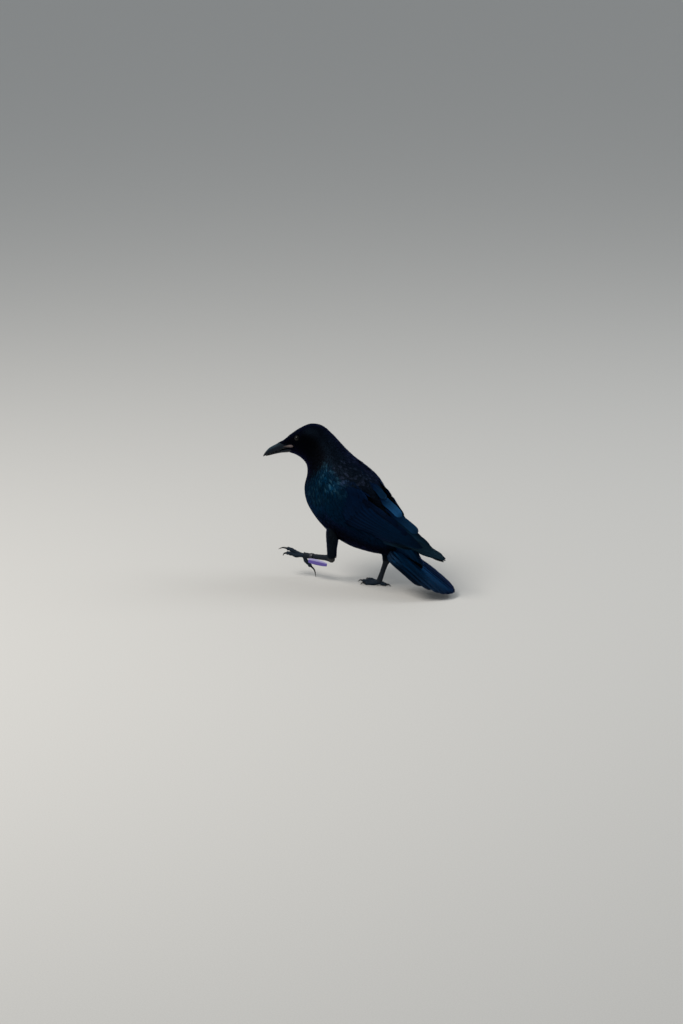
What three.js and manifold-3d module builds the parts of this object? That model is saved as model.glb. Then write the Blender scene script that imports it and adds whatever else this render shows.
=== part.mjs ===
// A life-size crow in mid-stride: right foot planted, left foot lifted forward, tail drooped.
// Millimetres, +Z up. The bird faces -X, its left side is -Y, and the floor is z = 0.
// The origin is on the floor, below the middle of the model's box: the sizes below are measured
// from the planted foot, and the finished pieces are moved together at the end.
import * as THREE from "three";
import { mergeVertices } from "three/addons/utils/BufferGeometryUtils.js";
import Module from "manifold-3d";

const wasm = await Module();
wasm.setup();

// ---------------------------------------------------------------- driving dimensions
const CLEAR = 0.35; // gap between neighbouring pieces
const HEAD_TURN = THREE.MathUtils.degToRad(10); // the head looks a little to the left
const HEAD_PIVOT_X = -100; // the upright axis that the head turns about
const WING_DEPTH = 4; // how far the closed wing stands out from the flank
const WING_MIDLINE = 1.2; // each wing stays this far from the middle plane
const EYE_RADIUS = 5.2;
const SHANK_RADIUS = 4.4; // front to back

// The body's profile in side view, from the tail root to the bill: the dorsal point, the ventral
// point and the half width of each rib-like section.
const SECTIONS = [
  { dorsal: [93, 41.5], ventral: [85, 33], half: 13 }, // tail coverts
  { dorsal: [70, 80], ventral: [50, 52], half: 22 }, // tail root
  { dorsal: [53, 113], ventral: [20, 59], half: 29.5 },
  { dorsal: [31, 141], ventral: [-10, 62], half: 38 }, // vent
  { dorsal: [11, 166.5], ventral: [-44, 67.5], half: 45 },
  { dorsal: [-8, 191.3], ventral: [-76.5, 81.5], half: 49.5 }, // belly
  { dorsal: [-31.5, 207.5], ventral: [-104, 103.5], half: 51 },
  { dorsal: [-51, 218.3], ventral: [-125.5, 131], half: 48 }, // breast
  { dorsal: [-63.5, 228], ventral: [-133, 158], half: 41 },
  { dorsal: [-76, 240], ventral: [-129, 183], half: 33 }, // neck
  { dorsal: [-91, 255], ventral: [-131, 199], half: 28 },
  { dorsal: [-108.5, 268], ventral: [-140.5, 209.5], half: 25.5 }, // back of the skull
  { dorsal: [-128, 269.6], ventral: [-151, 215], half: 22 }, // eye
  { dorsal: [-146, 261], ventral: [-161, 217.2], half: 17 },
  { dorsal: [-161, 250], ventral: [-168, 219], half: 12.5 }, // lores
  { dorsal: [-169, 243], ventral: [-172, 221], half: 9 }, // bill base
];
const NECK_BASE = 7.6; // section numbers where the body is parted
const HEAD_BASE = 10.2;
const WING_FROM = 1.6; // the closed wing lies on the body between these two sections
const WING_TO = 9.4;
const TURN_FROM = 7; // the head's turn builds up between these two sections
const TURN_TO = 12;
const SQUARENESS = 2.25; // superellipse power of the sections
const SECTION_SPACING = 22; // about this far apart

// ---------------------------------------------------------------- small helpers
const lerp = THREE.MathUtils.lerp;
const smoothstep = THREE.MathUtils.smoothstep;

// Catmull-Rom value of a list at a fractional index.
function along(list, at) {
  const last = list.length - 1;
  const i = Math.min(Math.max(Math.floor(at), 0), last - 1);
  const t = at - i;
  const pick = (k) => list[Math.min(Math.max(k, 0), last)];
  const [a, b, c, d] = [pick(i - 1), pick(i), pick(i + 1), pick(i + 2)];
  return (
    b +
    0.5 * t * (c - a + t * (2 * a - 5 * b + 4 * c - d + t * (3 * (b - c) + d - a)))
  );
}

// A closed solid from rings of points, capped at both ends by a fan round each ring's middle.
function loft(rings) {
  const sides = rings[0].length;
  const middle = (ring) =>
    ring.reduce((sum, p) => sum.add(p), new THREE.Vector3()).divideScalar(sides);
  const points = rings.flat();
  const first = points.push(middle(rings[0])) - 1;
  const final = points.push(middle(rings.at(-1))) - 1;
  const faces = [];
  for (let j = 0; j < sides; j++) {
    const k = (j + 1) % sides;
    for (let i = 0; i + 1 < rings.length; i++) {
      const [a, b] = [i * sides + j, i * sides + k];
      faces.push(a, b, a + sides, b, b + sides, a + sides);
    }
    const top = (rings.length - 1) * sides;
    faces.push(first, k, j, final, top + j, top + k);
  }
  const geometry = new THREE.BufferGeometry().setFromPoints(points);
  geometry.setIndex(faces);
  return solid(geometry);
}

// A three.js geometry as a manifold-3d solid, facing out whichever way it was wound.
function solid(geometry) {
  const bare = geometry.clone();
  bare.deleteAttribute("normal");
  bare.deleteAttribute("uv");
  const merged = mergeVertices(bare, 1e-4);
  const build = (triVerts) =>
    new wasm.Manifold(
      new wasm.Mesh({
        numProp: 3,
        vertProperties: merged.attributes.position.array,
        triVerts,
      }),
    );
  const faces = new Uint32Array(merged.index.array);
  const made = build(faces);
  return made.volume() > 0 ? made : build(faces.reverse());
}

// The largest body of a solid, without the slivers that a cut can leave.
const SLIVER = 0.02;
function largest(made) {
  const bodies = made.decompose();
  const best = bodies.reduce((one, two) => (two.volume() > one.volume() ? two : one));
  return best.simplify(SLIVER);
}

function geometryOf(made) {
  const mesh = made.getMesh();
  const geometry = new THREE.BufferGeometry();
  const position = new THREE.BufferAttribute(new Float32Array(mesh.vertProperties), 3);
  geometry.setAttribute("position", position);
  geometry.setIndex(new THREE.BufferAttribute(new Uint32Array(mesh.triVerts), 1));
  const flat = geometry.toNonIndexed();
  flat.computeVertexNormals();
  return flat;
}

function box(min, max) {
  const [low, high] = [new THREE.Vector3(...min), new THREE.Vector3(...max)];
  const size = high.clone().sub(low);
  const middle = low.clone().add(high).multiplyScalar(0.5);
  const block = new THREE.BoxGeometry(size.x, size.y, size.z);
  return solid(block.translate(middle.x, middle.y, middle.z));
}

const FAR = 300; // beyond every piece
const floorBlock = box([-FAR, -FAR, -FAR], [FAR, FAR, 0]);

// A limb of round sections through some points, each {at: [x, y, z], r}, with rounded ends.
function limb(stops, { sides = 12, steps = 4, squash = 1, grow = 0 } = {}) {
  const axis = ["x", "y", "z"].map((_, k) => stops.map((stop) => stop.at[k]));
  const radii = stops.map((stop) => stop.r);
  const place = (u) => new THREE.Vector3(...axis.map((list) => along(list, u)));
  const rings = [];
  const count = (stops.length - 1) * steps;
  for (let i = 0; i <= count; i++) {
    const u = i / steps;
    const heading = place(Math.min(u + 0.05, stops.length - 1))
      .sub(place(Math.max(u - 0.05, 0)))
      .normalize();
    const side = new THREE.Vector3(0, 1, 0).cross(heading).normalize();
    const across = heading.clone().cross(side).normalize();
    const radius = along(radii, u) + grow;
    const past = i === 0 ? -grow : i === count ? grow : 0;
    const middle = place(u).addScaledVector(heading, past);
    rings.push(ringRound(middle, side, across, radius, radius * squash, sides));
  }
  return loft(rings);
}

// Points round an ellipse in the plane of two unit vectors.
function ringRound(middle, one, two, radiusOne, radiusTwo, sides) {
  return Array.from({ length: sides }, (_, j) => {
    const angle = (j / sides) * 2 * Math.PI;
    return middle
      .clone()
      .addScaledVector(one, radiusOne * Math.cos(angle))
      .addScaledVector(two, radiusTwo * Math.sin(angle));
  });
}

// ---------------------------------------------------------------- head, neck and trunk
// Turns a point of the head about the neck; share 0 leaves it and 1 turns it all the way.
function turned(point, share = 1) {
  const angle = HEAD_TURN * share;
  const [dx, dy] = [point.x - HEAD_PIVOT_X, point.y];
  point.x = HEAD_PIVOT_X + dx * Math.cos(angle) - dy * Math.sin(angle);
  point.y = dx * Math.sin(angle) + dy * Math.cos(angle);
  return point;
}

function bodyRing(at, grow, sides = 26) {
  const value = (pick) => along(SECTIONS.map(pick), at);
  const [dx, dz] = [value((s) => s.dorsal[0]), value((s) => s.dorsal[1])];
  const [vx, vz] = [value((s) => s.ventral[0]), value((s) => s.ventral[1])];
  const tall = Math.hypot(dx - vx, dz - vz) / 2;
  const stretch = (tall + grow) / tall;
  const half = value((s) => s.half) + grow;
  const share = smoothstep(at, TURN_FROM, TURN_TO);
  const power = (x) => Math.sign(x) * Math.abs(x) ** (2 / SQUARENESS);
  return Array.from({ length: sides }, (_, j) => {
    const angle = (j / sides) * 2 * Math.PI;
    const [up, out] = [power(Math.cos(angle)), power(Math.sin(angle))];
    const x = (dx + vx) / 2 + ((dx - vx) / 2) * up * stretch;
    const z = (dz + vz) / 2 + ((dz - vz) / 2) * up * stretch;
    return turned(new THREE.Vector3(x, half * out, z), share);
  });
}

// The body between two section numbers, grown outwards all round.
function body(from, to, grow = 0) {
  const rings = [];
  const steps = Math.round((to - from) * 2);
  for (let i = 0; i <= steps; i++) rings.push(bodyRing(lerp(from, to, i / steps), grow));
  return loft(rings);
}

// ---------------------------------------------------------------- wings
// The closed wing's outline in side view, from the wrist over the back to the tip and home.
function wingOutline() {
  const outline = new THREE.Shape();
  outline.moveTo(-84, 146);
  outline.bezierCurveTo(-84, 170, -64, 188, -38, 192);
  outline.bezierCurveTo(-12, 187, 8, 160, 32, 128);
  outline.lineTo(46, 93);
  outline.bezierCurveTo(24, 94, -20, 98, -50, 109);
  outline.bezierCurveTo(-72, 118, -84, 130, -84, 146);
  return outline;
}

// The free end of the left wing, over the rump and on to the tip: flat sections, each from the
// top edge near the midline to the foot at the flank.
const BLADE = [
  { top: [12, -12, 160], foot: [4, -37, 106], thick: 6 },
  { top: [38, -3, 146], foot: [32, -42, 98], thick: 6.5 },
  { top: [64, -1.5, 120], foot: [60, -31, 87], thick: 4.6 },
  { top: [90, -1.5, 95], foot: [88, -19, 75], thick: 3.2 },
  { top: [116, -3, 79], foot: [112, -12.5, 69], thick: 2.2 },
  { top: [131.5, -6.5, 69.6], foot: [131, -9, 67.3], thick: 1.3 },
];
const TUCK = [-9, 0, -8]; // the right wing's tip lies this much under the left one's

function blade(side) {
  const value = (pick, u) => along(BLADE.map(pick), u);
  const rings = [];
  const steps = 12;
  for (let i = 0; i <= steps; i++) {
    const u = (i / steps) * (BLADE.length - 1);
    const spot = (end) =>
      new THREE.Vector3(...[0, 1, 2].map((k) => value((stop) => stop[end][k], u)));
    const [top, foot] = [spot("top"), spot("foot")];
    const half = top.clone().sub(foot).multiplyScalar(0.5);
    const outward = half.clone().cross(new THREE.Vector3(1, 0, -0.9)).normalize();
    const thick = value((stop) => stop.thick, u) / 2;
    const middle = top.add(foot).multiplyScalar(0.5);
    const ring = ringRound(middle, half.clone().normalize(), outward, half.length(), thick, 16);
    if (side > 0)
      for (const point of ring) {
        point.y = -point.y;
        point.addScaledVector(new THREE.Vector3(...TUCK), smoothstep(u, 0.5, 3));
      }
    rings.push(ring);
  }
  return loft(rings);
}

// side is -1 for the left wing and 1 for the right.
function wing(side, trunk) {
  const slab = new THREE.ExtrudeGeometry(wingOutline(), {
    depth: FAR,
    bevelEnabled: false,
    curveSegments: 8,
  });
  slab.rotateX(Math.PI / 2); // the outline's y becomes z, and it is extruded towards -Y
  slab.translate(0, side > 0 ? FAR + WING_MIDLINE : -WING_MIDLINE, 0);
  const shell = body(WING_FROM, WING_TO, WING_DEPTH).intersect(solid(slab));
  const otherHalf =
    side > 0
      ? box([-FAR, -FAR, 0], [FAR, WING_MIDLINE, FAR])
      : box([-FAR, -WING_MIDLINE, 0], [FAR, FAR, FAR]);
  return largest(shell.add(blade(side)).subtract(trunk).subtract(otherHalf));
}

// ---------------------------------------------------------------- tail
const TAIL = [
  { at: [34, 0, 74], half: 20, thick: 10, camber: 14 },
  { at: [52, 0.4, 63.5], half: 30, thick: 7, camber: 12 },
  { at: [74, 1.5, 49], half: 37, thick: 4.6, camber: 10 },
  { at: [94, 3, 36], half: 38, thick: 3.2, camber: 9 },
  { at: [112, 6, 24], half: 30, thick: 2.4, camber: 5.5 },
  { at: [125, 7.2, 15.8], half: 21.5, thick: 1.9, camber: 3 },
  { at: [133, 7, 11], half: 14, thick: 1.6, camber: 1.4 },
  { at: [139, 6.4, 7.8], half: 6, thick: 1.2, camber: 0.3 },
];

function tail() {
  const value = (pick, u) => along(TAIL.map(pick), u);
  const up = new THREE.Vector3(0.55, 0, 0.835);
  const across = new THREE.Vector3(0, 1, 0);
  const rings = [];
  const steps = 14;
  for (let i = 0; i <= steps; i++) {
    const u = (i / steps) * (TAIL.length - 1);
    const middle = new THREE.Vector3(...[0, 1, 2].map((k) => value((s) => s.at[k], u)));
    const half = value((s) => s.half, u);
    const ring = ringRound(middle, across, up, half, value((s) => s.thick, u) / 2, 20);
    for (const point of ring) {
      const share = (point.y - middle.y) / half;
      point.addScaledVector(up, -value((s) => s.camber, u) * share * share);
    }
    rings.push(ring);
  }
  return loft(rings);
}

// ---------------------------------------------------------------- bill
const BILL_STEPS = 9;

// Half a bill: sections run from the gape to the tip, each {x, top, bottom, half}.
function mandible(stops, ridge, grow = 0) {
  const value = (pick, u) => along(stops.map(pick), u);
  const rings = [];
  for (let i = 0; i <= BILL_STEPS; i++) {
    const u = (i / BILL_STEPS) * (stops.length - 1);
    const [x, half] = [value((s) => s.x, u), value((s) => s.half, u) + grow];
    const [top, bottom] = [value((s) => s.top, u) + grow, value((s) => s.bottom, u) - grow];
    const ring = Array.from({ length: 12 }, (_, j) => {
      const angle = (j / 12) * 2 * Math.PI;
      const up = Math.cos(angle);
      const flat = up * ridge < 0 ? -ridge * Math.abs(up) ** 0.4 : up; // where the halves meet
      const out = Math.sin(angle) * (1 - ridge * up * 0.3);
      const z = (top + bottom) / 2 + ((top - bottom) / 2) * flat;
      return turned(new THREE.Vector3(x, half * out, z));
    });
    rings.push(ring);
  }
  return loft(rings);
}

const upperBill = (grow) =>
  mandible(
    [
      { x: -154, top: 236.5, bottom: 229, half: 16 },
      { x: -165, top: 240.5, bottom: 226, half: 12.4 },
      { x: -178, top: 235, bottom: 221, half: 8.8 },
      { x: -190, top: 228.2, bottom: 215.7, half: 6.8 },
      { x: -201, top: 221, bottom: 210.6, half: 4.8 },
      { x: -208, top: 213, bottom: 207, half: 2.8 },
      { x: -211.5, top: 207.5, bottom: 205, half: 1 },
    ],
    1,
    grow,
  );

const lowerBill = () =>
  mandible(
    [
      { x: -156, top: 227.5, bottom: 221, half: 14.2 },
      { x: -165, top: 225.5, bottom: 217.3, half: 11.6 },
      { x: -178, top: 220.6, bottom: 215, half: 8 },
      { x: -190, top: 215.2, bottom: 211.6, half: 5.9 },
      { x: -200, top: 210.8, bottom: 208.2, half: 3.9 },
      { x: -206.5, top: 207.6, bottom: 206.2, half: 1.8 },
    ],
    -1,
  );

// ---------------------------------------------------------------- legs
const LEFT_HEEL = [-78.5, -18, 42];
const LEFT_ANKLE = [-134, -16, 38]; // where the lifted foot's toes part
const RIGHT_HEEL = [11.5, 12, 46.5];
const RIGHT_ANKLE = [0, 5, 5.5];

const LEFT_THIGH = [
  { at: [-66, -31, 112], r: 16 },
  { at: [-71.5, -29, 90], r: 12 },
  { at: [-75, -24, 66], r: 8.9 },
  { at: [-78, -18.5, 46], r: 8 },
];
const RIGHT_THIGH = [
  { at: [-14, 30, 100], r: 17 },
  { at: [-3, 25, 82], r: 13 },
  { at: [6.5, 17.5, 62], r: 8.8 },
  { at: [10.5, 12.5, 44], r: 7 },
];

function shank(heel, ankle, grow = 0) {
  const [a, b] = [new THREE.Vector3(...heel), new THREE.Vector3(...ankle)];
  const part = (share) => a.clone().lerp(b, share).toArray();
  return limb(
    [
      { at: part(-0.07), r: SHANK_RADIUS * 1.1 },
      { at: part(0.01), r: SHANK_RADIUS * 1.55 },
      { at: part(0.2), r: SHANK_RADIUS * 1.05 },
      { at: part(0.55), r: SHANK_RADIUS * 0.92 },
      { at: part(0.86), r: SHANK_RADIUS },
      { at: part(0.98), r: SHANK_RADIUS * 1.15 },
    ],
    { sides: 10, steps: 2, squash: 0.76, grow },
  );
}

// A toe from the ankle through its joints; the last joint is where the claw starts.
const TOE_RADIUS = 3.7;
const TOE_TAPER = 0.18; // the share of its radius that a toe loses towards the claw
const toe = (joints, grow = 0) =>
  limb(
    joints.map((at, i) => ({ at, r: TOE_RADIUS * (1 - (TOE_TAPER * i) / (joints.length - 1)) })),
    { sides: 8, steps: 3, grow },
  );

const CLAW_RADIUS = 1.9;
const claw = (joints) =>
  limb(
    joints.map((at, i) => ({ at, r: lerp(CLAW_RADIUS, 0.4, i / (joints.length - 1)) })),
    { sides: 8, steps: 3 },
  );

// Each toe's joints, the first of which is the ankle, and the points that its claw runs through.
const RIGHT_TOES = {
  inner: {
    joints: [RIGHT_ANKLE, [-10, 0, 3.2], [-20, -3.8, 2.5]],
    claw: [[-21, -4.2, 2.4], [-25.5, -5.8, 3.1], [-29.5, -7.4, 0.2]],
  },
  middle: {
    joints: [RIGHT_ANKLE, [-12, 5, 3.4], [-22, 5.2, 3.7], [-29.5, 5.2, 2.5]],
    claw: [[-30.5, 5.2, 2.5], [-35.5, 5.1, 3.3], [-40, 5, 0.2]],
  },
  outer: {
    joints: [RIGHT_ANKLE, [-10, 10.5, 3.4], [-18.5, 14.5, 3.5], [-24.5, 17.1, 2.5]],
    claw: [[-25.5, 17.5, 2.4], [-29.5, 19.2, 3.1], [-33.5, 21, 0.2]],
  },
  hind: {
    joints: [RIGHT_ANKLE, [6.5, 6.3, 3.4], [11.5, 6.8, 2.4]],
    claw: [[12.5, 6.9, 2.3], [17, 7.3, 3.1], [21.5, 7.8, 0.2]],
  },
};
const LEFT_TOES = {
  inner: {
    joints: [LEFT_ANKLE, [-145, -12.5, 38], [-154, -12, 41]],
    claw: [[-155, -12, 41.2], [-160.5, -11.6, 41.2], [-164.5, -11.2, 37.8]],
  },
  middle: {
    joints: [LEFT_ANKLE, [-146, -17, 40.6], [-156, -19, 45.5], [-163, -20, 47]],
    claw: [[-164, -20.2, 47.2], [-172.5, -21, 47.4], [-180.5, -21.5, 43.6]],
  },
  outer: {
    joints: [LEFT_ANKLE, [-146, -21.5, 38], [-155, -25, 40.8], [-160.5, -26.5, 41.4]],
    claw: [[-161.5, -26.8, 41.2], [-166, -28, 39.8], [-168, -28.6, 35.6]],
  },
  hind: {
    joints: [LEFT_ANKLE, [-130.5, -14.5, 28.5], [-123.5, -12, 19.8]],
    claw: [[-122.9, -11.8, 19.2], [-117, -9.6, 12.2], [-114.5, -8.8, 0]],
  },
};

// ---------------------------------------------------------------- leg tag
function alongShank(share) {
  return new THREE.Vector3(...LEFT_HEEL).lerp(new THREE.Vector3(...LEFT_ANKLE), share);
}

// A thin plastic flag at the outer side of the lifted shank, along its lower edge.
const TAG = [
  { at: [-86, -21.6, 30.3], tall: 2.8 },
  { at: [-93, -22, 31], tall: 4.1 },
  { at: [-104, -22, 31.8], tall: 4.9 },
  { at: [-115, -21.8, 32.2], tall: 4.7 },
  { at: [-122, -21.4, 32.1], tall: 3.6 },
];
const TAG_THICK = 1.2;
const RING_RADIUS = 5.3;
const RING_BORE = 4.5;

const legTag = () =>
  loft(
    TAG.map(({ at, tall }) => {
      const up = new THREE.Vector3(0.03, 0.12, 1).normalize();
      const out = new THREE.Vector3(0, -1, 0.12).normalize();
      return ringRound(new THREE.Vector3(...at), up, out, tall, TAG_THICK / 2, 10);
    }),
  );

// A slim ring round the shank, which the tag hangs from.
function sleeve(radius, from, to) {
  const heading = alongShank(1).sub(alongShank(0)).normalize();
  const side = new THREE.Vector3(0, 1, 0).cross(heading).normalize();
  const across = heading.clone().cross(side).normalize();
  const ring = (share) =>
    ringRound(alongShank(share), side, across, radius, radius, 16);
  return loft([ring(from), ring(to)]);
}
const legRing = () => sleeve(RING_RADIUS, 0.66, 0.76).subtract(sleeve(RING_BORE, 0.6, 0.84));

// ---------------------------------------------------------------- eyes
const EYE = [-144.6, 14.9, 247.2]; // the middle of the right eye, before the head's turn

function eyeSolid(side, grow = 0) {
  const place = turned(new THREE.Vector3(EYE[0], side * EYE[1], EYE[2]));
  const ball = new THREE.SphereGeometry(EYE_RADIUS + grow, 16, 10);
  return solid(ball.translate(place.x, place.y, place.z));
}

// ---------------------------------------------------------------- the model
const material = (color, roughness) =>
  new THREE.MeshStandardMaterial({ color, roughness, metalness: 0 });
const finishes = {
  plumage: material(0x0a1420, 0.45),
  flight: material(0x07101c, 0.38),
  bill: material(0x14181c, 0.35),
  scales: material(0x16191d, 0.5),
  claw: material(0x0c0d0f, 0.3),
  eye: material(0x0b0605, 0.05),
  tag: material(0x5a3fa8, 0.4),
  ring: material(0x1c1c20, 0.4),
};

const crow = new THREE.Group();
function add(name, made, finish) {
  const mesh = new THREE.Mesh(geometryOf(made), finishes[finish]);
  mesh.name = name;
  crow.add(mesh);
}

const lastSection = SECTIONS.length - 1;
const gap = CLEAR / 2 / SECTION_SPACING; // half a gap, in section numbers
const eyes = eyeSolid(-1, CLEAR).add(eyeSolid(1, CLEAR));
const wholeGrown = body(0, lastSection, CLEAR);

add("trunk", body(0, NECK_BASE - gap), "plumage");
add("neck", body(NECK_BASE + gap, HEAD_BASE - gap), "plumage");
add("head", largest(body(HEAD_BASE + gap, lastSection).subtract(eyes)), "plumage");

const wings = { left: wing(-1, wholeGrown), right: wing(1, wholeGrown) };
add("wing_left", wings.left, "flight");
add("wing_right", wings.right, "flight");
const bothWings = wings.left.add(wings.right);
add("tail", largest(tail().subtract(wholeGrown).subtract(bothWings)), "flight");

for (const [side, thigh, toes, heel, ankle] of [
  ["left", LEFT_THIGH, LEFT_TOES, LEFT_HEEL, LEFT_ANKLE],
  ["right", RIGHT_THIGH, RIGHT_TOES, RIGHT_HEEL, RIGHT_ANKLE],
]) {
  add("thigh_" + side, largest(limb(thigh).subtract(wholeGrown).subtract(bothWings)), "plumage");
  const grownThigh = limb(thigh, { grow: CLEAR });
  add("shank_" + side, largest(shank(heel, ankle).subtract(grownThigh)), "scales");
  const whole = (grow) =>
    Object.values(toes)
      .map(({ joints }) => toe(joints, grow))
      .reduce((sum, one) => sum.add(one));
  const foot = whole(0).subtract(shank(heel, ankle, CLEAR)).subtract(floorBlock);
  add("foot_" + side, largest(foot), "scales");
  for (const [name, { claw: points }] of Object.entries(toes)) {
    const horn = claw(points).subtract(whole(CLEAR)).subtract(floorBlock);
    add(`claw_${side}_${name}`, largest(horn), "claw");
  }
}

add("bill_upper", largest(upperBill().subtract(wholeGrown)), "bill");
add("bill_lower", largest(lowerBill().subtract(wholeGrown).subtract(upperBill(CLEAR))), "bill");
add("eye_left", eyeSolid(-1), "eye");
add("eye_right", eyeSolid(1), "eye");
add("leg_tag", largest(legTag().subtract(sleeve(RING_RADIUS + CLEAR, 0.65, 0.77))), "tag");
add("leg_ring", legRing(), "ring");

const centre = new THREE.Box3().setFromObject(crow).getCenter(new THREE.Vector3());
for (const mesh of crow.children) mesh.geometry.translate(-centre.x, -centre.y, 0);

export default crow;
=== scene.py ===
"""A life-size crow in mid-stride, dressed round its CAD solids.

Shapes are worked out in millimetres from the planted foot, as in the solids' own source, and go to
metres in the row frame when a mesh is made. The bird faces -X, its left side is -Y and up is +Z.
"""
import math

import bpy
import numpy as np
from mathutils import Matrix, Vector
from mathutils.bvhtree import BVHTree


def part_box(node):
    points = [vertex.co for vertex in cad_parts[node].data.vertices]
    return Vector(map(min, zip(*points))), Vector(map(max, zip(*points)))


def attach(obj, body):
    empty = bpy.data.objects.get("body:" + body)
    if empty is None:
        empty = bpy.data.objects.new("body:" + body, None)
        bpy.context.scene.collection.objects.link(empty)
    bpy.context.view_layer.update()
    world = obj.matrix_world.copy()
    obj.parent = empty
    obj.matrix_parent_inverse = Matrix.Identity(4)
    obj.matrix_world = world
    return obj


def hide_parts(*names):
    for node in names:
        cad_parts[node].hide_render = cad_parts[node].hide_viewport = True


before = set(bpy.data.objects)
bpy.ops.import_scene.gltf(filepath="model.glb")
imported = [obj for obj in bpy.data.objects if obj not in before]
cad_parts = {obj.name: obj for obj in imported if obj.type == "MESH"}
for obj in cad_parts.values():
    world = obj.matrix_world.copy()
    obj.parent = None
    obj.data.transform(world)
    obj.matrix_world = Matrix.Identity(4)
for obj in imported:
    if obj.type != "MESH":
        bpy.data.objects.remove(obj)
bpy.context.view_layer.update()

rng = np.random.default_rng(23)

# ------------------------------------------------------------------ sizes shared with the solids
# The body's sections run from the tail's root (0) to the forehead (15): back, belly and half width.
DORSAL = np.array([
    [93, 41.5], [70, 80], [53, 113], [31, 141], [11, 166.5], [-8, 191.3], [-31.5, 207.5],
    [-51, 218.3], [-63.5, 228], [-76, 240], [-91, 255], [-108.5, 268], [-128, 269.6],
    [-146, 261], [-161, 250], [-169, 243],
], float)
VENTRAL = np.array([
    [85, 33], [50, 52], [20, 59], [-10, 62], [-44, 67.5], [-76.5, 81.5], [-104, 103.5],
    [-125.5, 131], [-133, 158], [-129, 183], [-131, 199], [-140.5, 209.5], [-151, 215],
    [-161, 217.2], [-168, 219], [-172, 221],
], float)
HALF = np.array([13, 22, 29.5, 38, 45, 49.5, 51, 48, 41, 33, 28, 25.5, 22, 17, 12.5, 9], float)
LAST = len(HALF) - 1
SQUARENESS = 2.25
HEAD_TURN = math.radians(10)
HEAD_PIVOT_X = -100
TURN_FROM, TURN_TO = 7, 12
WING_DEPTH = 4
EYE = np.array([-144.6, 14.9, 247.2])
EYE_RADIUS = 5.2
LEFT, RIGHT = -1, 1
SIDES = {LEFT: "left", RIGHT: "right"}
HEEL = {LEFT: np.array([-78.5, -18, 42]), RIGHT: np.array([11.5, 12, 46.5])}
ANKLE = {LEFT: np.array([-134, -16, 38]), RIGHT: np.array([0, 5, 5.5])}
THIGH = {
    LEFT: [([-66, -31, 112], 16), ([-71.5, -29, 90], 12), ([-75, -24, 66], 8.9), ([-78, -18.5, 46], 8)],
    RIGHT: [([-14, 30, 100], 17), ([-3, 25, 82], 13), ([6.5, 17.5, 62], 8.8), ([10.5, 12.5, 44], 7)],
}


# ------------------------------------------------------------------ small helpers
def unit(v):
    return v / np.maximum(np.linalg.norm(v, axis=-1, keepdims=True), 1e-9)


def ease(x, low, high):
    """Smoothstep of x between low and high, which may run downwards."""
    t = np.clip((x - low) / (high - low), 0, 1)
    return t * t * (3 - 2 * t)


def dot(a, b):
    return (a * b).sum(-1)


def size(v):
    return np.linalg.norm(v, axis=-1)


def run_along(points):
    """How far along a line of points each of them is."""
    return np.concatenate([[0], np.cumsum(size(np.diff(points, axis=0)))])


def scatter(most, shape):
    """Random numbers between -most and most."""
    return rng.uniform(-most, most, shape)


def uneven(most, shape):
    """Random factors that differ from 1 by up to most."""
    return rng.uniform(1 - most, 1 + most, shape)


def numbers(*values):
    """Arrays of one common shape."""
    return np.broadcast_arrays(*(np.asarray(value, float) for value in values))


def circle(count):
    return np.linspace(0, 2 * math.pi, count, endpoint=False)


def spaced(first, last, count):
    """Points from first to last, both included."""
    t = np.linspace(0, 1, count)[:, None]
    return np.array(first, float) * (1 - t) + np.array(last, float) * t


def along(values, at):
    """Catmull-Rom value of a list of numbers or points at fractional places."""
    values, at = np.asarray(values, float), np.asarray(at, float)
    last = len(values) - 1
    i = np.clip(np.floor(at).astype(int), 0, last - 1)
    t = at - i
    if values.ndim > 1:
        t = t[..., None]
    a, b, c, d = (values[np.clip(i + k, 0, last)] for k in (-1, 0, 1, 2))
    return b + 0.5 * t * (c - a + t * (2 * a - 5 * b + 4 * c - d + t * (3 * (b - c) + d - a)))


def turned(place, share=1.0):
    """Turns points of the head about the neck's upright axis."""
    angle = HEAD_TURN * np.asarray(share)
    dx, y = place[..., 0] - HEAD_PIVOT_X, place[..., 1]
    x = HEAD_PIVOT_X + dx * np.cos(angle) - y * np.sin(angle)
    return np.stack([x, dx * np.sin(angle) + y * np.cos(angle), place[..., 2]], -1)


# The row frame's origin is below the middle of the box. The left eye's ball shows where it lies.
EYE_BOX = [np.array(corner) * 1000 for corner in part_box("eye_left")]
SHIFT = (EYE_BOX[0] + EYE_BOX[1]) / 2 - turned(EYE * [1, LEFT, 1])
SHIFT[2] = 0


def metres(places):
    return (np.asarray(places, float) + SHIFT) * 0.001


# ------------------------------------------------------------------ surfaces
class Surface:
    """Points at (u, v) numbers. sign is 1 where dv x du points out, and -1 where it points in."""

    def __init__(self, place, sign=1, step=0.02):
        self.place, self.sign, self.step = place, sign, step

    def frame(self, uv):
        u, v, e = uv[..., 0], uv[..., 1], self.step
        du = (self.place(u + e, v) - self.place(u - e, v)) / (2 * e)
        dv = (self.place(u, v + e) - self.place(u, v - e)) / (2 * e)
        return self.place(u, v), du, dv, unit(np.cross(dv, du)) * self.sign


def solve(du, dv, move):
    """The change of (u, v) that makes a small move in space."""
    a, b, c = dot(du, du), dot(du, dv), dot(dv, dv)
    p, q = dot(du, move), dot(dv, move)
    det = np.maximum(a * c - b * b, 1e-9)
    return np.stack([(c * p - b * q) / det, (a * q - b * p) / det], -1)


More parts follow.
